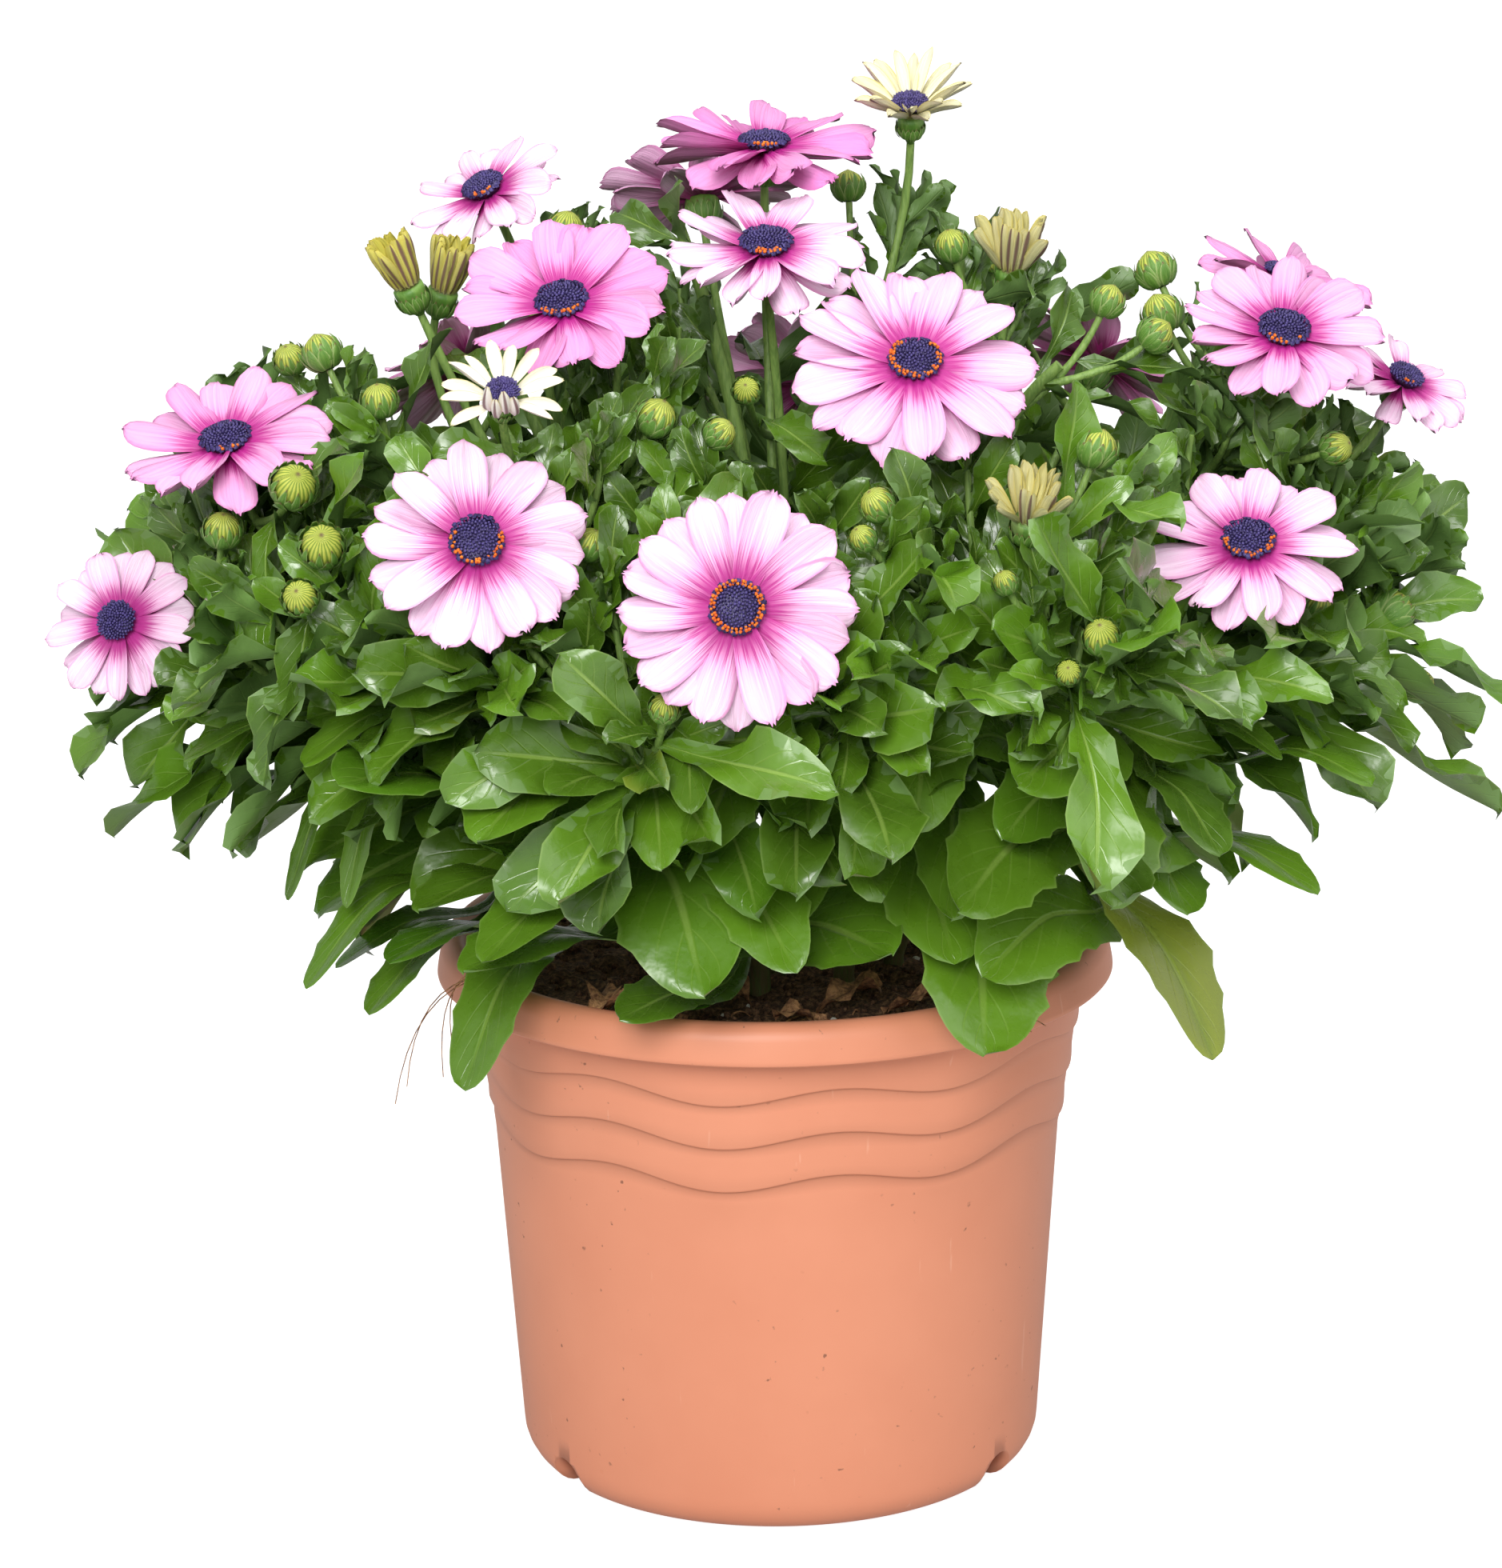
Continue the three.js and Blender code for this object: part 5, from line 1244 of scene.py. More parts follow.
def unit_bract(number, start, end, half_turn):
    """A pointed bract that hugs a unit ball, from one angle off its foot to another."""
    rows, columns = 6, 5
    grid = np.zeros((rows, columns, 3))
    for r in range(rows):
        part = r / (rows - 1)
        tilt = math.radians(180 - start - (end - start) * part)
        radius = 1.03 + 0.05 * part + 0.05 * part**3
        wide = half_turn * (0.55 + 0.9 * part - 1.4 * part**2.2 + 0.02) if part < 1 else 0.01
        for c in range(columns):
            share = 2 * c / (columns - 1) - 1
            turn = share * wide
            grid[r, c] = (radius * math.cos(tilt),
                          radius * math.sin(tilt) * math.sin(turn),
                          radius * math.sin(tilt) * math.cos(turn))
    return blade(f"unit_bract_{number}", grid, 0.05, BRACT_GREEN, 1 / MM)


BRACTS = collection_of("bracts", [
    unit_bract(0, 28, 112, 0.42), unit_bract(1, 28, 98, 0.5), unit_bract(2, 40, 134, 0.28),
    unit_bract(3, 48, 112, 0.26)])


def ring_of_bracts(points, center, axis, half, rows, seed):
    """Rows of (kind, count, size) bracts round an axis."""
    first, second = round_about(axis)
    for row, (kind, count, scale) in enumerate(rows):
        for k in range(count):
            turn = 2 * math.pi * (k + 0.5 * row + 0.25 * draw(seed + k, row)) / count
            out = first * math.cos(turn) + second * math.sin(turn)
            size = half * scale * spread(seed + k, row + 5, 0.97, 1.05)
            points.put(center, axis, out, (size, size, size), kind, draw(seed, k), 0.5)


def bud_mesh(shoot):
    axis = shoot.path.along(1)
    half = shoot.size
    center = shoot.path.at(1) + axis * half * 0.98
    angles = np.radians(np.linspace(180, 0, 9))
    profile = [(0.97 * half * math.sin(angle), 0.97 * half * math.cos(angle)) for angle in angles]
    profile[-1] = (0, half * 1.06)
    return spun("bud", center, axis, profile, 24, BUD_GREEN, 0.035, 12), (center, axis, half)


FULL_WIDTH = 50  # a flower narrower than this has a smaller cup and centre
CUP_HEIGHT, CUP_HALF = 4.6, 4.55  # where the bracts of a cup stand, and the ball that they hug


def cup_mesh(name, end, look, scale):
    profile = [(0, -0.4), (1.3, 0.2), (2.1, 1.6), (3.6, 3.1), (4.3, 4.8), (4.5, 6.6), (4.4, 7.9), (0, 7.9)]
    return spun(name, end, look, [(r * scale, h) for r, h in profile], 14, BRACT_GREEN, 0.03, 7)


ROWS_OF_BUD = ((2, 9, 1.0), (0, 9, 1.015), (1, 8, 1.03))
ROWS_OF_CUP = ((0, 9, 1.0), (3, 9, 1.06))

# %% [markdown]
# ## Putting the stems together
#
# Each stem becomes one object: its stalks, cups and buds, its large leaves, and the copies of small leaves
# and bracts. It stands for the CAD stem of the same name.

# %% One piece for each leafy stem
def flower_cup(shoot, points):
    bloom = blooms[shoot.name]
    look = facing(*bloom.look)
    end = shoot.path.at(1)
    scale = 0.85 if bloom.lift > SHUT_LIFT else min(1, bloom.width / FULL_WIDTH)
    ring_of_bracts(points, end + look * CUP_HEIGHT, look, CUP_HALF * scale, ROWS_OF_CUP, shoot.seed)
    return cup_mesh(f"cup_{shoot.name}", end, look, scale)


triangles = 0
for number, stem in enumerate(STEMS):
    mine = [shoot for shoot in shoots if shoot.stem == stem.name]
    lines = [(trunks[stem.name], TRUNK_RADIUS, TRUNK_RADIUS * 0.85, 14)]
    bracts, meshes = Points(), []
    for shoot in mine:
        radius = RADIUS[shoot.what]
        lines.append((shoot.path, radius * 1.1, radius * 0.85, 8 if shoot.what == "bud" else 14))
        if shoot.what == "flower":
            meshes.append(flower_cup(shoot, bracts))
        if shoot.what == "bud":
            core, where = bud_mesh(shoot)
            meshes.append(core)
            ring_of_bracts(bracts, *where, ROWS_OF_BUD, shoot.seed)
    meshes.append(stalk_mesh("stalks", lines))
    if bracts.rows:
        meshes.append(grow("bracts", copy_tree, bracts.mesh("bract_points"),
                           Shapes=BRACTS, Size=MM, Finish=BRACT_GREEN))
    meshes += [large_leaf_mesh(i) for i, leaf in enumerate(large_leaves) if leaf[0] == stem.name]
    small = Points()
    for i, leaf in enumerate(leaves):
        if leaf.stem == stem.name:
            chord = leaf.tip - leaf.root
            length = float(np.linalg.norm(chord))
            rise = share_of(leaf.root[2], 190, 300)
            # age: mostly the leaf's height, with a little chance; the leaf ramp darkens the top of its
            # range, painted shade on the upper leaves
            height_shade_and_youth = rise * 0.7 + 0.3 * draw(i, 8)
            size = (length, leaf.width * spread(i, 4, 0.85, 1.15) * (1 - 0.25 * rise), length)
            tint = draw(i, 9) * (1 if leaf.root[2] < 170 else 0.94)  # only low leaves turn yellow
            small.put(leaf.root, chord, leaf.face, size, i % LEAF_KINDS, tint, height_shade_and_youth)
    meshes.append(grow("small_leaves", copy_tree, small.mesh("leaf_points"),
                       Shapes=UNIT_LEAVES, Size=MM, Finish=LEAF_GREEN))
    piece = joined(f"stem_{stem.name}", meshes)
    settle(piece, "foliage", f"leafy_stem_{stem.name}")
    piece.data.calc_loop_triangles()
    triangles += len(piece.data.loop_triangles)
print("leafy stems:", triangles, "triangles")

# %% [markdown]
# ## Petals
#
# The showy rays of an osteospermum are long strap-shaped petals with a blunt, slightly notched tip and fine
# lengthwise ridges. They are pale pink with deeper edges, and turn magenta where they meet the centre.
# Their undersides are duskier. Young flowers are still cream with yellow tips. Each bloom has two layers,
# and no two petals bend alike, so the copying tree draws on several petal shapes.

# %% Petal finishes
def petal_finish(name, colors, heart_reach, streak):
    """Colours: pale, deep, heart, edge and underside. A petal's lengthwise veins draw the heart out."""
    pale, deep, heart, edge_color, under_color = colors
    look = Look(name, 0.5)
    across, along, edge = look.surface()
    tint, age, under = look.own("tint"), look.own("age"), look.own("under")
    look.paint(tint, deep, pale)
    lines = look.noise(1.0, 3, 0.6, look.drawn_out(across, along, 30.0, 1.2)).step(0.42, 0.66)
    bands = look.noise(1.0, 2, 0.5, look.drawn_out(across, along, 4.0, 2.2)).step(0.35, 0.75)
    rim = edge.step(0.8, 1.0).calc("MAXIMUM", along.step(0.92, 1.02))
    look.paint(lines * 0.12 + bands * 0.12 + rim * 0.5, edge_color)
    ragged = along + (lines - 0.5) * -0.14 + edge * 0.06
    look.paint(ragged.step(heart_reach * 1.55, heart_reach * 0.8) * 0.55, edge_color)
    look.paint(ragged.step(heart_reach * 1.15, heart_reach * 0.62) * 0.95, heart)
    narrow, broad, strength = streak
    middle = edge.step(broad, narrow) * strength
    look.paint(under * (age * 0.5 + 0.12 + middle).calc("MINIMUM", 1.0), under_color)
    look.paint(age * rim * 0.35, under_color)
    ridges = (across * 6.0).calc("PINGPONG", 0.5)
    return look.finished(ridges + lines * 0.5, 0.5, 0.3)


PINK = petal_finish("pink_petal", (rgb(255, 230, 249), rgb(228, 128, 198), rgb(184, 14, 134),
                                   rgb(232, 126, 198), rgb(160, 92, 132)), 0.5, (0.2, 0.62, 0.35))
CREAM = petal_finish("cream_petal", (rgb(255, 252, 244), rgb(222, 216, 100), rgb(206, 200, 130),
                                     rgb(232, 212, 84), rgb(112, 70, 76)), 0.16, (0.1, 0.4, 0.75))
print("petal finishes:", PINK.name, CREAM.name)

# %% [markdown]
# ## Petal shapes
#
# A petal widens from a narrow foot and ends in a round tip. Its rows lie closer together towards the tip,
# where the outline turns fastest. A petal with a curl follows the arc of a circle and bends over the
# centre.

# %% Petal shapes
PETAL_ROWS, PETAL_COLUMNS = 11, 7
SHOULDER, YOUNG_SHOULDER = 0.74, 0.5  # the part of a petal where its round tip begins


def petal_width(part, is_young):
    shoulder = YOUNG_SHOULDER if is_young else SHOULDER
    if part < shoulder:
        return 0.34 + 0.66 * math.sin(math.pi / 2 * part / shoulder) ** 1.1
    return max(1 - ((part - shoulder) / (1 - shoulder)) ** (1.8 if is_young else 2.4), 0.06) ** 0.5


def unit_petal(number, material, droop, cup, narrow=1.0, curl=0.0):
    """A petal from (0, 0, 0) to (1, 0, 0), one wide at its broadest."""
    grid = np.zeros((PETAL_ROWS, PETAL_COLUMNS, 3))
    parts = 1 - np.linspace(1, 0, PETAL_ROWS) ** 1.4
    bow = spread(number, 71, -0.035, 0.035)
    twist = spread(number, 72, -0.25, 0.25)
    for r, part in enumerate(parts):
        wide = petal_width(part, material == CREAM) * (narrow + (1 - narrow) * part)
        turned = curl * part
        for c in range(PETAL_COLUMNS):
            share = 2 * c / (PETAL_COLUMNS - 1) - 1
            notch = 0.02 * (1 + math.cos(3 * math.pi * share)) * draw(number, 20)
            x = part * (1 - part**8 * (0.03 * share * share + notch))
            y = 0.5 * wide * share
            z = 0.5 * wide * cup * share * share + 0.012 * math.cos(3 * math.pi * share) - droop * part**2.4
            z += 0.02 * math.sin(7 * part + 3 * share + number) * part + twist * y * part
            if curl:
                x, z = (math.sin(turned) / curl - z * math.sin(turned),
                        (1 - math.cos(turned)) / curl + z * math.cos(turned))
            grid[r, c] = (x, y + bow * math.sin(math.pi * part), z)
    return blade(f"unit_petal_{number}", grid, 0.018, material, 1 / MM, parts)


OPEN_PETALS = collection_of("open_petals", [
    unit_petal(0, PINK, 0.05, 0.1), unit_petal(1, PINK, 0.09, 0.16), unit_petal(2, PINK, 0.02, -0.1),
    unit_petal(3, PINK, 0.12, 0.05), unit_petal(4, PINK, 0.06, -0.16), unit_petal(5, PINK, 0.0, 0.2)])
YOUNG_PETALS = collection_of("young_petals", [
    unit_petal(6, CREAM, 0.0, 0.25, 0.8), unit_petal(7, CREAM, 0.02, 0.35, 0.75),
    unit_petal(8, CREAM, -0.04, 0.3, 0.8), unit_petal(9, CREAM, 0.0, 0.4, 0.9, 2.3),
    unit_petal(10, CREAM, -0.14, 0.4, 0.8), unit_petal(11, CREAM, -0.2, 0.45, 0.75)])

# %% [markdown]
# ## The centres
#
# A flower's centre holds well over a hundred tiny florets. They sit on a spiral where each is turned 137.5
# degrees from the one before, as in a sunflower. A third tree lays out that spiral from a handful of named
# inputs. Where a centre shows pollen, its outer florets are open, and anthers stand round it in two rows.

# %% The spiral tree
spiral_tree, given = new_tree("spiral_of_florets", {
    "Shapes": "Collection", "Count": "Int", "Radius": "Float", "Dome": "Float", "Open from": "Float",
    "Seed": "Int", "Finish": "Material"})
GOLDEN_ANGLE = math.radians(137.508)
given = {name: Value(given[name]) for name in given.keys()}
rank = Value(add(spiral_tree, "GeometryNodeInputIndex").outputs[0])
share = (rank + 0.5).calc("DIVIDE", given["Count"])
away, angle = share.calc("SQRT"), rank * GOLDEN_ANGLE
out_x, out_y = angle.calc("COSINE") * away, angle.calc("SINE") * away
dome = (share * share * -1.0 + 1.0) * given["Dome"]
place = add(spiral_tree, "ShaderNodeCombineXYZ", {
    0: out_x * given["Radius"], 1: out_y * given["Radius"], 2: dome}).outputs[0]
spots = add(spiral_tree, "GeometryNodeMeshLine", {"Count": given["Count"]}).outputs[0]
spots = add(spiral_tree, "GeometryNodeSetPosition", {"Geometry": spots, "Position": place}).outputs[0]
tilted = add(spiral_tree, "ShaderNodeCombineXYZ", {0: out_x * 0.9, 1: out_y * 0.9, 2: 1.0}).outputs[0]
turn = add(spiral_tree, "FunctionNodeAlignRotationToVector", {"Vector": tilted}, axis="Z").outputs[0]
sizes = {2: 0.8, 3: 1.15, "Seed": given["Seed"]}
wander = add(spiral_tree, "FunctionNodeRandomValue", sizes, data_type="FLOAT").outputs[1]
placed_copies(spiral_tree, given, spots, away.calc("GREATER_THAN", given["Open from"]), turn, wander)


def disc_finish():
    look = Look("disc_floret", 0.45)
    look.paint(look.surface()[1].step(0.2, 0.9), rgb(76, 64, 128), rgb(14, 8, 26))
    spots = look.noise(900, 2).step(0.4, 0.65)
    look.paint(spots * 0.6, rgb(34, 24, 58))
    return look.finished(spots, 0.4, 0.15)


def pollen_finish():
    look = Look("pollen", 0.7)
    spots = look.noise(1500, 2).step(0.35, 0.7)
    look.paint(spots, rgb(240, 138, 36), rgb(206, 84, 12))
    look.paint(look.surface()[1].step(0.62, 0.4), rgb(70, 24, 40))
    return look.finished(spots, 0.6, 0.2)


DISC_BLUE, POLLEN = disc_finish(), pollen_finish()


def floret(name, sides, profile, tooth):
    """A closed or open floret: rings of a profile, with every second corner of the upper ones drawn out."""
    rim = circle(sides)
    toothed = rim * (1 + tooth * (np.arange(sides) % 2))[:, None]
    first, *middle, last = profile
    rings = [(toothed if row else rim) * radius + UP * height
             for row, (radius, height) in enumerate(middle)]
    return ringed(name, UP * first[1], rings, UP * last[1], DISC_BLUE)


FLORETS = collection_of("florets", [
    floret("closed_floret", 5, [(0, -0.3), (0.26, 0), (0.38, 0.8), (0, 1.2)], 0.12),
    floret("open_floret", 10, [(0, -0.3), (0.24, 0), (0.3, 0.8), (0.5, 1.2), (0, 0.8)], 0.4)])
GRAINS = collection_of("grains", [
    floret("anther", 6, [(0, -1.9), (0.2, -1.7), (0.22, 0.1), (0.46, 0.4), (0.4, 0.95), (0, 1.2)], 0.2)])

# %% [markdown]
# ## Putting the flowers together
#
# A flower is laid out looking up, ring by ring, then turned the way it looks. The petals ride at the places
# and angles of the CAD petals. The centre replaces the CAD centre and adds its pollen.

# %% Blooms
HUB_RADIUS, SHUT_HUB_RADIUS = 4.4, 3.6
HUB_LEVEL, SHUT_HUB_LEVEL, LAYER_DROP = 0.7, -0.4, 0.95
OPEN_WIDTH, YOUNG_WIDTH = 0.35, 0.22  # a petal's width against the flower's reach
LOWER_SINK, LOWER_LENGTH = 7, 0.97  # how much flatter, in degrees, and shorter the lower layer is
TILE_LEAN = 0.1
YOUNG_TINTS = {"young_left": 0.0, "young_top": 0.3, "half_open_top": 0.6, "half_open_right": 0.55,
               "closing_left": 0.95, "closing_right": 0.9}
PETAL_KINDS, CURLED, SHUT_KIND = 6, 3, 4  # YOUNG_PETALS has open, curled and shut shapes, in this order


def frame_of(look):
    """The shortest turn from straight up to the way a flower looks, as a matrix."""
    return np.array(Vector((0, 0, 1)).rotation_difference(Vector(look)).to_matrix())


def petals_of(bloom, seed):
    """Two layers of petals, each leaning a little over the next one like a tile."""
    is_young, is_shut = isinstance(bloom, Young), bloom.lift > SHUT_LIFT
    reach, pitch, frame_turn = bloom.width / 2, 2 * math.pi / bloom.petals, frame_of(facing(*bloom.look))
    hub = SHUT_HUB_RADIUS if is_shut else HUB_RADIUS
    points = Points()
    for layer in (0, 1):
        key = 100 * (layer + 1) + seed
        level = SHUT_HUB_LEVEL if is_shut else HUB_LEVEL - LAYER_DROP * layer
        for k in range(bloom.petals):
            turn = 0.3 * seed + (k + 0.5 * layer) * pitch + (draw(key, k) - 0.5) * pitch * 0.12
            length = reach * (LOWER_LENGTH if layer else 1) * (1 - 0.06 * draw(key + 20, k)) - hub
            lift = bloom.lift - LOWER_SINK * layer * (0.4 if is_shut else 1) + 3 * (draw(key + 40, k) - 0.5)
            width = reach * (YOUNG_WIDTH if is_young else OPEN_WIDTH) * spread(key, k + 60, 0.9, 1.08)
            inset = length * (0.03 if is_shut else 0.15)
            if is_young:
                kind = math.floor(draw(key + 3, k) * CURLED)
                tint = YOUNG_TINTS[bloom.name] + spread(key, k + 30, 0.0, 0.08)
                age = 0.12 * draw(key, k + 31)
                if bloom.name == "young_left" and math.sin(turn) < -0.8:
                    kind = CURLED
                if is_shut:
                    kind = SHUT_KIND + k % 2
                    lift -= 22 if draw(key, k + 90) < 0.2 else 0
            else:
                kind = math.floor(draw(key + 3, k) * PETAL_KINDS)
                tint = min(max(bloom.tint + spread(key, k + 30, -0.1, 0.1), 0), 1)
                age = bloom.dusk
            out = np.array([math.cos(turn), math.sin(turn), 0])
            slope = math.radians(lift)
            along = out * math.cos(slope) + UP * math.sin(slope)
            face = UP * math.cos(slope) - out * math.sin(slope)
            face = face + np.cross(along, face) * (TILE_LEAN + spread(round(turn * 50), 7, -0.12, 0.12))
            place = np.array(bloom.at) + frame_turn @ (out * (hub - inset) + UP * level)
            length += inset
            size = (length, width, length)
            points.put(place, frame_turn @ along, frame_turn @ face, size, kind, tint, age)
    name = f"petals_{bloom.name}"
    shapes, finish, slot = (YOUNG_PETALS, CREAM, "young_ray_florets") if is_young else \
        (OPEN_PETALS, PINK, "ray_florets")
    mesh = grow(name, copy_tree, points.mesh(f"{name}_points"), Size=MM, Shapes=shapes, Finish=finish)
    return settle(shown(mesh, name), slot, f"rays_{bloom.name}")


CENTRE_RADIUS, CENTRE_FLOOR, CENTRE_DOME = 5.7, 1.35, 1.1
FLORET_COUNT, ANTHERS = 170, 34
OPEN_FROM = 0.86  # a centre with pollen has open florets from here out
CENTRE_PROFILE = ((0, 0), (0.85, 0.1), (0.95, 1.2), (0.88, 1.9), (0.6, 2.3), (0, 2.4))


def centre_of(bloom, seed):
    """The dome of florets, and pollen on an arc of it that starts on the lower side."""
    look = facing(*bloom.look)
    frame_turn = frame_of(look)
    wide = CENTRE_RADIUS * min(1, bloom.width / FULL_WIDTH)
    pollen = getattr(bloom, "pollen", 0.0)
    at = np.array(bloom.at, float)
    profile = [(wide * share, height) for share, height in CENTRE_PROFILE]
    core = spun("core", at + look * CENTRE_FLOOR, look, profile, 18, DISC_BLUE)
    spiral = grow("florets", spiral_tree, bpy.data.meshes.new("empty"), Shapes=FLORETS, Seed=seed,
                  Count=FLORET_COUNT, Radius=wide * 0.98 * MM, Dome=CENTRE_DOME * MM, Finish=DISC_BLUE,
                  **{"Open from": OPEN_FROM if pollen > 0.1 else 2.0})
    matrix = Matrix(frame_turn).to_4x4()
    matrix.translation = Vector((at + look * (CENTRE_FLOOR + 1.2)) * MM)
    spiral.transform(matrix)
    meshes, grains = [core, spiral], Points()
    for k in range(2 * ANTHERS if pollen else 0):
        turn = 2 * math.pi * (k + 0.7 * draw(seed, k + 100)) / ANTHERS
        in_arc = (turn / (2 * math.pi) + 0.25 + pollen / 2) % 1 < pollen
        if in_arc and draw(seed + 3, k) <= 0.4 + 0.6 * pollen:
            out = frame_turn @ np.array([math.cos(turn), math.sin(turn), 0])
            row = 1.0 if k < ANTHERS else 0.88
            place = at + out * wide * row + look * spread(seed, k + 200, 3.1, 3.6)
            size = spread(seed, k + 300, 0.7, 1.0)
            grains.put(place, np.cross(out, look), look + out * 0.25, (size,) * 3, 0)
    if grains.rows:
        points = grains.mesh("grains")
        meshes.append(grow("pollen", copy_tree, points, Shapes=GRAINS, Size=1.0, Finish=POLLEN))
    return settle(joined(f"centre_{bloom.name}", meshes), "disc_florets", f"disc_{bloom.name}")


for seed, bloom in [*enumerate(FLOWERS), *enumerate(YOUNG_FLOWERS, 40)]:
    petals_of(bloom, seed)
    if bloom.lift < SHUT_LIFT:
        centre_of(bloom, seed)

# %% [markdown]
# ## The pot
#
# The nursery pot is thin moulded plastic. Its wall steps outwards at three wavy lines, like overlapping
# tiles, and ends in a smooth collar with a rolled lip. It is turned from one closed profile with many
# sides, whose rings near each wavy line ride up and down with it. The notches in the foot and the drain
# holes are cut by Booleans.

# %% The pot's shape
POT_HEIGHT = 137.5
POT_SIDES = 256
WALL = 1.5
WAVE_HEIGHTS = (94, 105.5, 117)
WAVE_STEP, WAVE_SWING, WAVES, CREST_AT = 1.05, 2.0, 8, 11
FOOT_CONTACT, FOOT_HEIGHT, DISC_FLOOR_RADIUS, CHANNEL = 58, 9, 40, 10
NOTCHES, DRAINS = (-56, 56, 180), (45, 135, 225, 315)
NOTCH_WIDTH, NOTCH_HEIGHT = 12.5, 9.5
DRAIN_RADIUS, DRAIN_AT = 4.5, 51


def wall_radius(height):
    steps = sum(height > wave for wave in WAVE_HEIGHTS)
    return 66.9 + (height - 21.3) * 0.0675 + steps * WAVE_STEP


def pot_profile():
    """(radius, height, share of the wave's swing) from the middle of the base out, up and down again."""
    rows = [(0, 0, 0), (DISC_FLOOR_RADIUS - 1, 0, 0), (DISC_FLOOR_RADIUS, 0.6, 0),
            (DISC_FLOOR_RADIUS, CHANNEL, 0), (wall_radius(CHANNEL) - WALL, CHANNEL, 0),
            (FOOT_CONTACT - 0.8, WALL, 0), (FOOT_CONTACT - 0.4, 0, 0)]
    reach = wall_radius(FOOT_HEIGHT) - FOOT_CONTACT
    for turn in np.radians(np.linspace(0, 90, 8)):
        rows.append((FOOT_CONTACT + reach * math.sin(turn), FOOT_HEIGHT * (1 - math.cos(turn)), 0))
    heights = list(np.linspace(FOOT_HEIGHT + 6, WAVE_HEIGHTS[0] - 6, 8))
    rows += [(wall_radius(height), height, 0) for height in heights]
    for wave in WAVE_HEIGHTS:
        rows += [(wall_radius(wave) - 0.02, wave - 3.5, 0.6), (wall_radius(wave) - 0.05, wave - 0.45, 1),
                 (wall_radius(wave + 1) - 0.35, wave - 0.12, 1), (wall_radius(wave + 1), wave + 0.4, 1),
                 (wall_radius(wave + 1) + 0.1, wave + 3.5, 0.6)]
    rows += [(78, 124.2, 0), (78, 127.2, 0), (78.6, 127.6, 0), (84.6, 127.75, 0), (85, 128.2, 0),
             (84.9, 129.2, 0), (84.1, 133.6, 0), (83.8, 134.7, 0), (83.0, 136.0, 0), (81.8, 137.1, 0),
             (80.4, POT_HEIGHT, 0), (79.2, 137.45, 0), (78.3, 137.0, 0), (77.6, 136.1, 0),
             (76.0, 132.5, 0), (72.9, 126.6, 0), (72.4, 125.6, 0)]
    floor = CHANNEL + WALL
    rows += [(wall_radius(height) - WALL, height, 0) for height in np.linspace(90, floor, 4)]
    return rows + [(DISC_FLOOR_RADIUS - WALL, floor, 0), (DISC_FLOOR_RADIUS - WALL, WALL, 0), (0, WALL, 0)]


def pot_mesh():
    turns = 2 * math.pi * np.arange(POT_SIDES) / POT_SIDES
    rim = np.stack([np.sin(turns), -np.cos(turns), np.zeros(POT_SIDES)], axis=1)
    ride = np.outer(WAVE_SWING * np.cos(WAVES * (turns - math.radians(CREST_AT))), UP)
    rings = [rim * radius + UP * height + ride * swing for radius, height, swing in pot_profile()[1:-1]]
    return ringed("pot_body", (0, 0, 0), rings, (0, 0, WALL))


def prism(name, low, high, turn):
    """A cutter between two outlines, turned round the pot."""
    count = len(low)
    faces = [tuple(range(count)), tuple(reversed(range(count, 2 * count)))]
    faces += [(i, i + count, (i + 1) % count + count, (i + 1) % count) for i in range(count)]
    return mesh_from(name, [turned(np.array(corner, float), turn) for corner in (*low, *high)], faces)


def cut(piece, cutters):
    """Takes the cutters away from a piece, and removes them."""
    group = collection_of("cutters", cutters)
    modifier = piece.modifiers.new("cut", "BOOLEAN")
    modifier.operand_type, modifier.collection, modifier.solver = "COLLECTION", group, "EXACT"
    result = evaluated(piece)
    piece.modifiers.remove(modifier)
    piece.data = result
    for cutter in list(group.objects):
        discard(cutter)
    bpy.data.collections.remove(group)


half_notch = NOTCH_WIDTH / 2
notch = [(half_notch * math.cos(t), NOTCH_HEIGHT - half_notch + half_notch * math.sin(t))
         for t in np.radians(np.linspace(180, 0, 13))] + [(half_notch, -4), (-half_notch, -4)]
cutters = []
for turn in NOTCHES:
    low, high = ([(x, -reach, z) for x, z in notch] for reach in (FOOT_CONTACT - 6, 76))
    cutters.append(prism(f"notch_{turn}", low, high, turn))
hole = [(DRAIN_RADIUS * math.cos(t), -DRAIN_RADIUS * math.sin(t) - DRAIN_AT)
        for t in np.radians(np.arange(0, 360, 20))]
for turn in DRAINS:
    low, high = ([(x, y, z) for x, y in hole] for z in (CHANNEL - 2, CHANNEL + 4))
    cutters.append(prism(f"drain_{turn}", low, high, turn))
pot = shown(pot_mesh(), "plastic_pot")
whole = len(pot.data.polygons)
cut(pot, cutters)
print("the pot has", len(pot.data.polygons), "faces after the cuts, and had", whole)
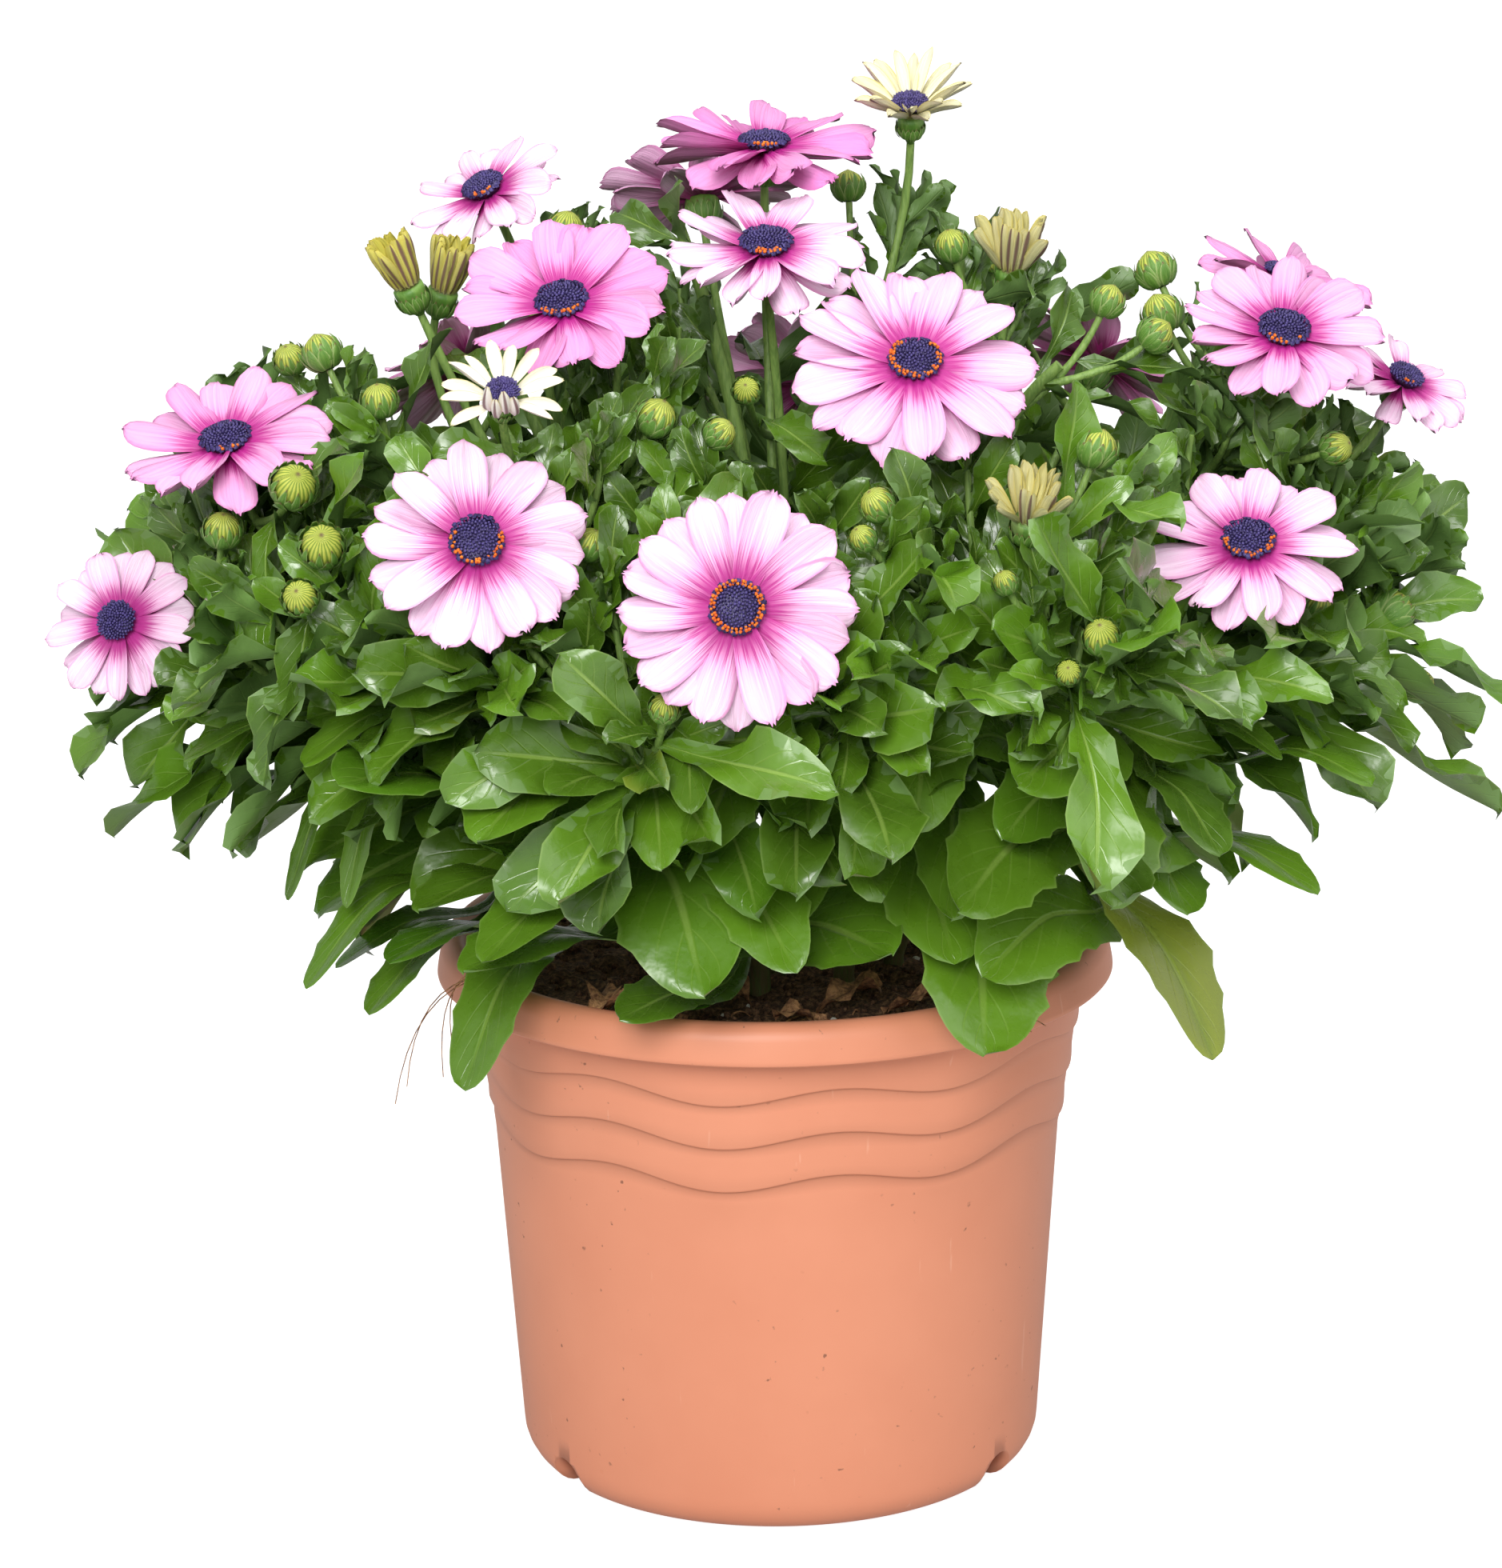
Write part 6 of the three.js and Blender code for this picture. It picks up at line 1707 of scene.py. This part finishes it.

# %% [markdown]
# ## The pot's finish
#
# Satin plastic in a clay colour, a little cloudy, with specks of dirt and fine scratches. A thin darker
# line under each step of the wall is painted shade; it is worked out from the same cosine as the shape, so
# colour and form stay together.

# %% The pot's finish
def pot_finish():
    look = Look("salmon_plastic", 0.42, 1.46)
    place = look.place()
    cloudy = look.noise(18, 4, 0.6, place)
    look.ramp(cloudy, [(0.3, rgb(221, 142, 109)), (0.7, rgb(227, 149, 116))])
    dirt = look.noise(420, 2, 0.5, place).step(0.70, 0.78)
    patches = look.noise(30, 2, 0.5, place).step(0.45, 0.62)
    look.paint(dirt * patches * 0.7, rgb(96, 66, 52))
    inputs = {0: place, "Rotation": (0.3, 1.2, 0.4), "Scale": (1, 1, 0.1)}
    scratch = look.noise(420, 2, 0.5, look.value("ShaderNodeMapping", inputs=inputs)).step(0.73, 0.78)
    look.paint(scratch * 0.22, rgb(246, 196, 170))
    x, y, z = look.parts(place)
    ride = ((x.calc("ARCTAN2", y * -1.0) - math.radians(CREST_AT)) * WAVES).calc("COSINE")
    level = z - ride * (WAVE_SWING * MM)
    # painted shade: a thin darker line just under each step of the wall, where the ledge above shades it
    lines = 0.0
    for wave in WAVE_HEIGHTS:
        lines = abs(level - (wave - 0.25) * MM).step(0.35 * MM, 0.1 * MM).calc("MAXIMUM", lines)
    look.paint(lines * 0.5, rgb(170, 100, 72))
    rough = cloudy * 0.16 + 0.36 + dirt * 0.3
    look.tree.links.new(rough.socket, look.sockets["Roughness"])
    return look.finished(cloudy * 0.6 + scratch * -0.15, 0.25, 0.4)


pot.data.materials.clear()
pot.data.materials.append(pot_finish())
settle(pot, "pot_plastic", "pot")
print("the pot's finish:", pot.data.materials[0].name)

# %% [markdown]
# ## The soil
#
# Potting soil is a crumbly mix of dark peat, fibres and white perlite. Its top is a fine uneven disc.
# The copying tree strews crumbs over it, and a few curled dead leaves and fine dry roots lie on top.

# %% Soil, crumbs and litter
def soil_finish():
    look = Look("soil", 0.95)
    grain = look.noise(700, 5, 0.7)
    look.ramp(grain, [(0.32, rgb(44, 29, 20)), (0.5, rgb(104, 74, 52)), (0.68, rgb(172, 134, 98))])
    return look.finished(grain, 0.9, 1.2)


def litter_finish(name, dark, light):
    look = Look(name, 0.8)
    fibre = look.noise(700, 4, 0.6).step(0.3, 0.7)
    look.paint(fibre, light, dark)
    look.paint(look.own("tint") * 0.4, dark)
    return look.finished(fibre, 0.6, 0.4)


SOIL_BROWN = soil_finish()
PERLITE = litter_finish("perlite", rgb(206, 200, 186), rgb(240, 238, 230))
DRY_LEAF = litter_finish("dry_leaf", rgb(104, 66, 44), rgb(196, 146, 100))


SOIL_FLOOR, SOIL_REACH, EDGE_DROP = 1.8, 74.6, 0.8
SOIL_SIDE = ((38.2, 1.8), (38.2, 12.0), (64.5, 12.0), (69.5, 90.0), (72.0, 126.0))  # radius and height


def soil_level(x, y):
    broad = math.sin(x * 0.31 + 1.7) * math.cos(y * 0.27)
    fine = 0.6 * math.sin((x + y) * 0.53) + 0.7 * noise.noise(Vector((x, y, 0)) * 0.35)
    return SOIL_TOP + 1.3 * (broad + fine)


def soil_mesh():
    rim, count = circle(96), 30
    rings = [rim * radius + UP * height for radius, height in SOIL_SIDE]
    for r in range(count, 0, -1):
        ring = rim * (SOIL_REACH * r / count)
        ring[:, 2] = [soil_level(x, y) - (EDGE_DROP if r == count else 0) for x, y, _ in ring]
        rings.append(ring)
    top = (0, 0, soil_level(0, 0))
    return ringed("soil_body", (0, 0, SOIL_FLOOR), rings, top, SOIL_BROWN, start=1)


def crumb(number):
    """A rough little lump of a dozen corners."""
    corners, faces = [(0, 0, -0.4)], []
    for row, (radius, height) in enumerate(((0.45, -0.15), (0.4, 0.25))):
        for side in range(5):
            turn = 2 * math.pi * (side + 0.5 * row) / 5
            wide = radius * spread(number * 11 + side, row, 0.7, 1.3)
            corners.append((wide * math.cos(turn), wide * math.sin(turn), height))
    corners.append((0, 0, 0.45))
    for side in range(5):
        after = (side + 1) % 5
        faces += [(0, 1 + after, 1 + side), (11, 6 + side, 6 + after),
                  (1 + side, 1 + after, 6 + side), (1 + after, 6 + after, 6 + side)]
    return mesh_from(f"crumb_{number}", corners, faces, None, None, SOIL_BROWN)


CRUMB_KINDS = 4
CRUMBS = collection_of("crumbs", [crumb(number) for number in range(CRUMB_KINDS)])


CRUMB_REACH = 73


def strewn(name, count, seed, low, high, finish):
    """Crumbs all over the soil, from low to high in size."""
    points = Points()
    for k in range(count):
        away, turn = CRUMB_REACH * math.sqrt(draw(seed, k)), 2 * math.pi * draw(seed + 1, k)
        x, y = away * math.cos(turn), away * math.sin(turn)
        size = spread(seed + 2, k, low, high)
        tilt = np.array([math.cos(5 * turn + k), math.sin(5 * turn + k), spread(seed, k + 900, -0.4, 0.4)])
        sizes = (size, size * spread(seed, k + 70, 0.6, 1), size * 0.8)
        points.put((x, y, soil_level(x, y) + 0.15 * size), tilt, UP + 0.3 * tilt[::-1], sizes,
                   k % CRUMB_KINDS, draw(seed, k + 30))
    return grow(name, copy_tree, points.mesh(f"{name}_points"), Shapes=CRUMBS, Size=1.0, Finish=finish)


def dry_leaf(number, x, y, turn, length, width):
    heading = turned(np.array([1.0, 0, 0.12]), turn)
    root = np.array([x, y, soil_level(x, y) + 1.0])

    def place(part):
        return root + heading * length * part + UP * (length * 0.22 * math.sin(2.6 * part) + 0.4)
    grid = leaf_grid(place, UP, width / 2, 12, 7, 150 + number, fold=0.8, wave=0.5)
    return blade(f"dry_leaf_{number}", grid, 0.3, DRY_LEAF)


def rim_leaf_place(part):
    """The midrib of a fallen green leaf that lies over the rim."""
    return np.array([-36.0, -66, 136]) + np.array([20.0, -7, 3.5]) * part + UP * 3 * part * (1 - part)


DRY_LEAVES = ((-22, -58, 200, 24, 8), (8, -60, 30, 20, 9), (26, -52, 340, 22, 7), (-6, -48, 120, 18, 8),
              (44, -42, 60, 17, 7), (-44, -40, 280, 20, 8), (14, -66, 170, 15, 6), (-30, 46, 40, 20, 9),
              (38, 40, 130, 22, 8), (-2, 62, 80, 18, 7))
soil = joined("soil_bed", [soil_mesh(), strewn("fine_crumbs", 900, 500, 1.2, 3.2, SOIL_BROWN),
                           strewn("perlite_crumbs", 60, 520, 1.2, 2.6, PERLITE)])
settle(soil, "potting_soil", "soil")
rim_leaf = blade("rim_leaf", leaf_grid(rim_leaf_place, UP, 5.6, 14, 7, 190), 0.4, LEAF_GREEN)
ON_SOIL = 16
roots = []
for k in range(20):  # thin roots on the soil, then hairs that hang over the rim
    if k < ON_SOIL:
        x, y, turn = spread(k, 81, -45, 55), spread(k, 82, -70, -48), spread(k, 83, 0, 6)
        ends = (x, y), (x + 12 * math.cos(turn), y + 4 * math.sin(turn))
        start, end = (np.array([*spot, soil_level(*spot) - 0.5]) for spot in ends)
        rise, thick = UP * spread(k, 85, 1, 4), 0.35
    else:
        start = np.array([-70 - k % 3, -38 - k % 5, 138.0])
        end = np.array([-94 + 3.0 * (k % 6), -40, spread(k, 84, 100, 122)])
        rise, thick = (-7, -2, 14), 0.18
    roots.append((arc(start, (start + end) / 2 + rise, end), thick, 0.12, 9))
litter = joined("dry_leaves", [dry_leaf(number, *plan) for number, plan in enumerate(DRY_LEAVES)]
                + [rim_leaf, stalk_mesh("roots", roots, DRY_LEAF)])
settle(litter, "potting_soil")
print("soil:", len(soil.data.polygons), "faces; dry leaves:", len(litter.data.polygons))

# %% [markdown]
# ## Light and floor
#
# The plant stands in a bright, even studio: a white world, one large soft light from the upper left front
# and two weaker ones that open up the shadows. The floor is as pale as the background, so only a soft
# shadow shows where the pot stands.

# %% Studio
SKY_LIGHT, SKY_SEEN = 0.5, 0.6  # what lights the plant, and what the camera alone sees on top
FLOOR_GLOW, FLOOR_SEEN = 0.15, 0.75


def camera_share(tree, seen, everywhere):
    """A strength that is higher where the camera looks straight at something."""
    ray = Value(add(tree, "ShaderNodeLightPath").outputs["Is Camera Ray"])
    return (ray * seen + everywhere).socket


world = bpy.data.worlds.new("studio")
bpy.context.scene.world = world
world.use_nodes = True
sky = world.node_tree.nodes["Background"].inputs
sky["Color"].default_value = (1, 1, 1, 1)
world.node_tree.links.new(camera_share(world.node_tree, SKY_SEEN, SKY_LIGHT), sky["Strength"])

LIGHTS = (("key", (-0.3, -1.5, 1.1), 0.8, 24), ("fill", (1.3, -0.9, 0.8), 1.2, 5),
          ("top", (0.1, -0.2, 1.6), 0.8, 10))  # in metres and watts
MIDDLE = Vector((0, 0, 0.17))
for name, place, size, power in LIGHTS:
    lamp = bpy.data.lights.new(name, "AREA")
    lamp.size, lamp.energy = size, power
    light = bpy.data.objects.new(name, lamp)
    light.location = place
    light.rotation_euler = (MIDDLE - Vector(place)).to_track_quat("-Z", "Y").to_euler()
    bpy.context.scene.collection.objects.link(light)


def floor_finish():
    look = Look("floor_paper", 0.9)
    look.paint(look.noise(60, 3), rgb(172, 172, 172), rgb(168, 168, 168))
    look.tree.links.new(look.color.socket, look.sockets["Base Color"])
    look.sockets["Emission Color"].default_value = (1, 1, 1, 1)
    glow = camera_share(look.tree, FLOOR_SEEN, FLOOR_GLOW)
    look.tree.links.new(glow, look.sockets["Emission Strength"])
    return look.material


FLOOR = 6000
corners = [(-FLOOR, -FLOOR, 0), (FLOOR, -FLOOR, 0), (FLOOR, FLOOR, 0), (-FLOOR, FLOOR, 0)]
floor = shown(mesh_from("floor", corners, [(0, 1, 2, 3)], None, None, floor_finish()), "floor")
floor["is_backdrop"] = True
bpy.context.scene.view_settings.view_transform = "Standard"
print("lights:", [name for name, *_ in LIGHTS])

# %% [markdown]
# ## Triangles and size
#
# The last cell prints how many triangles the shown pieces have, and the size of the dressed model in
# millimetres.

# %% Triangles and size
low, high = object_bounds()
total = 0
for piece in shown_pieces():
    piece.data.calc_loop_triangles()
    total += len(piece.data.loop_triangles)
print("triangles:", total, "size in mm:", [round((b - a) / MM, 1) for a, b in zip(low, high)])
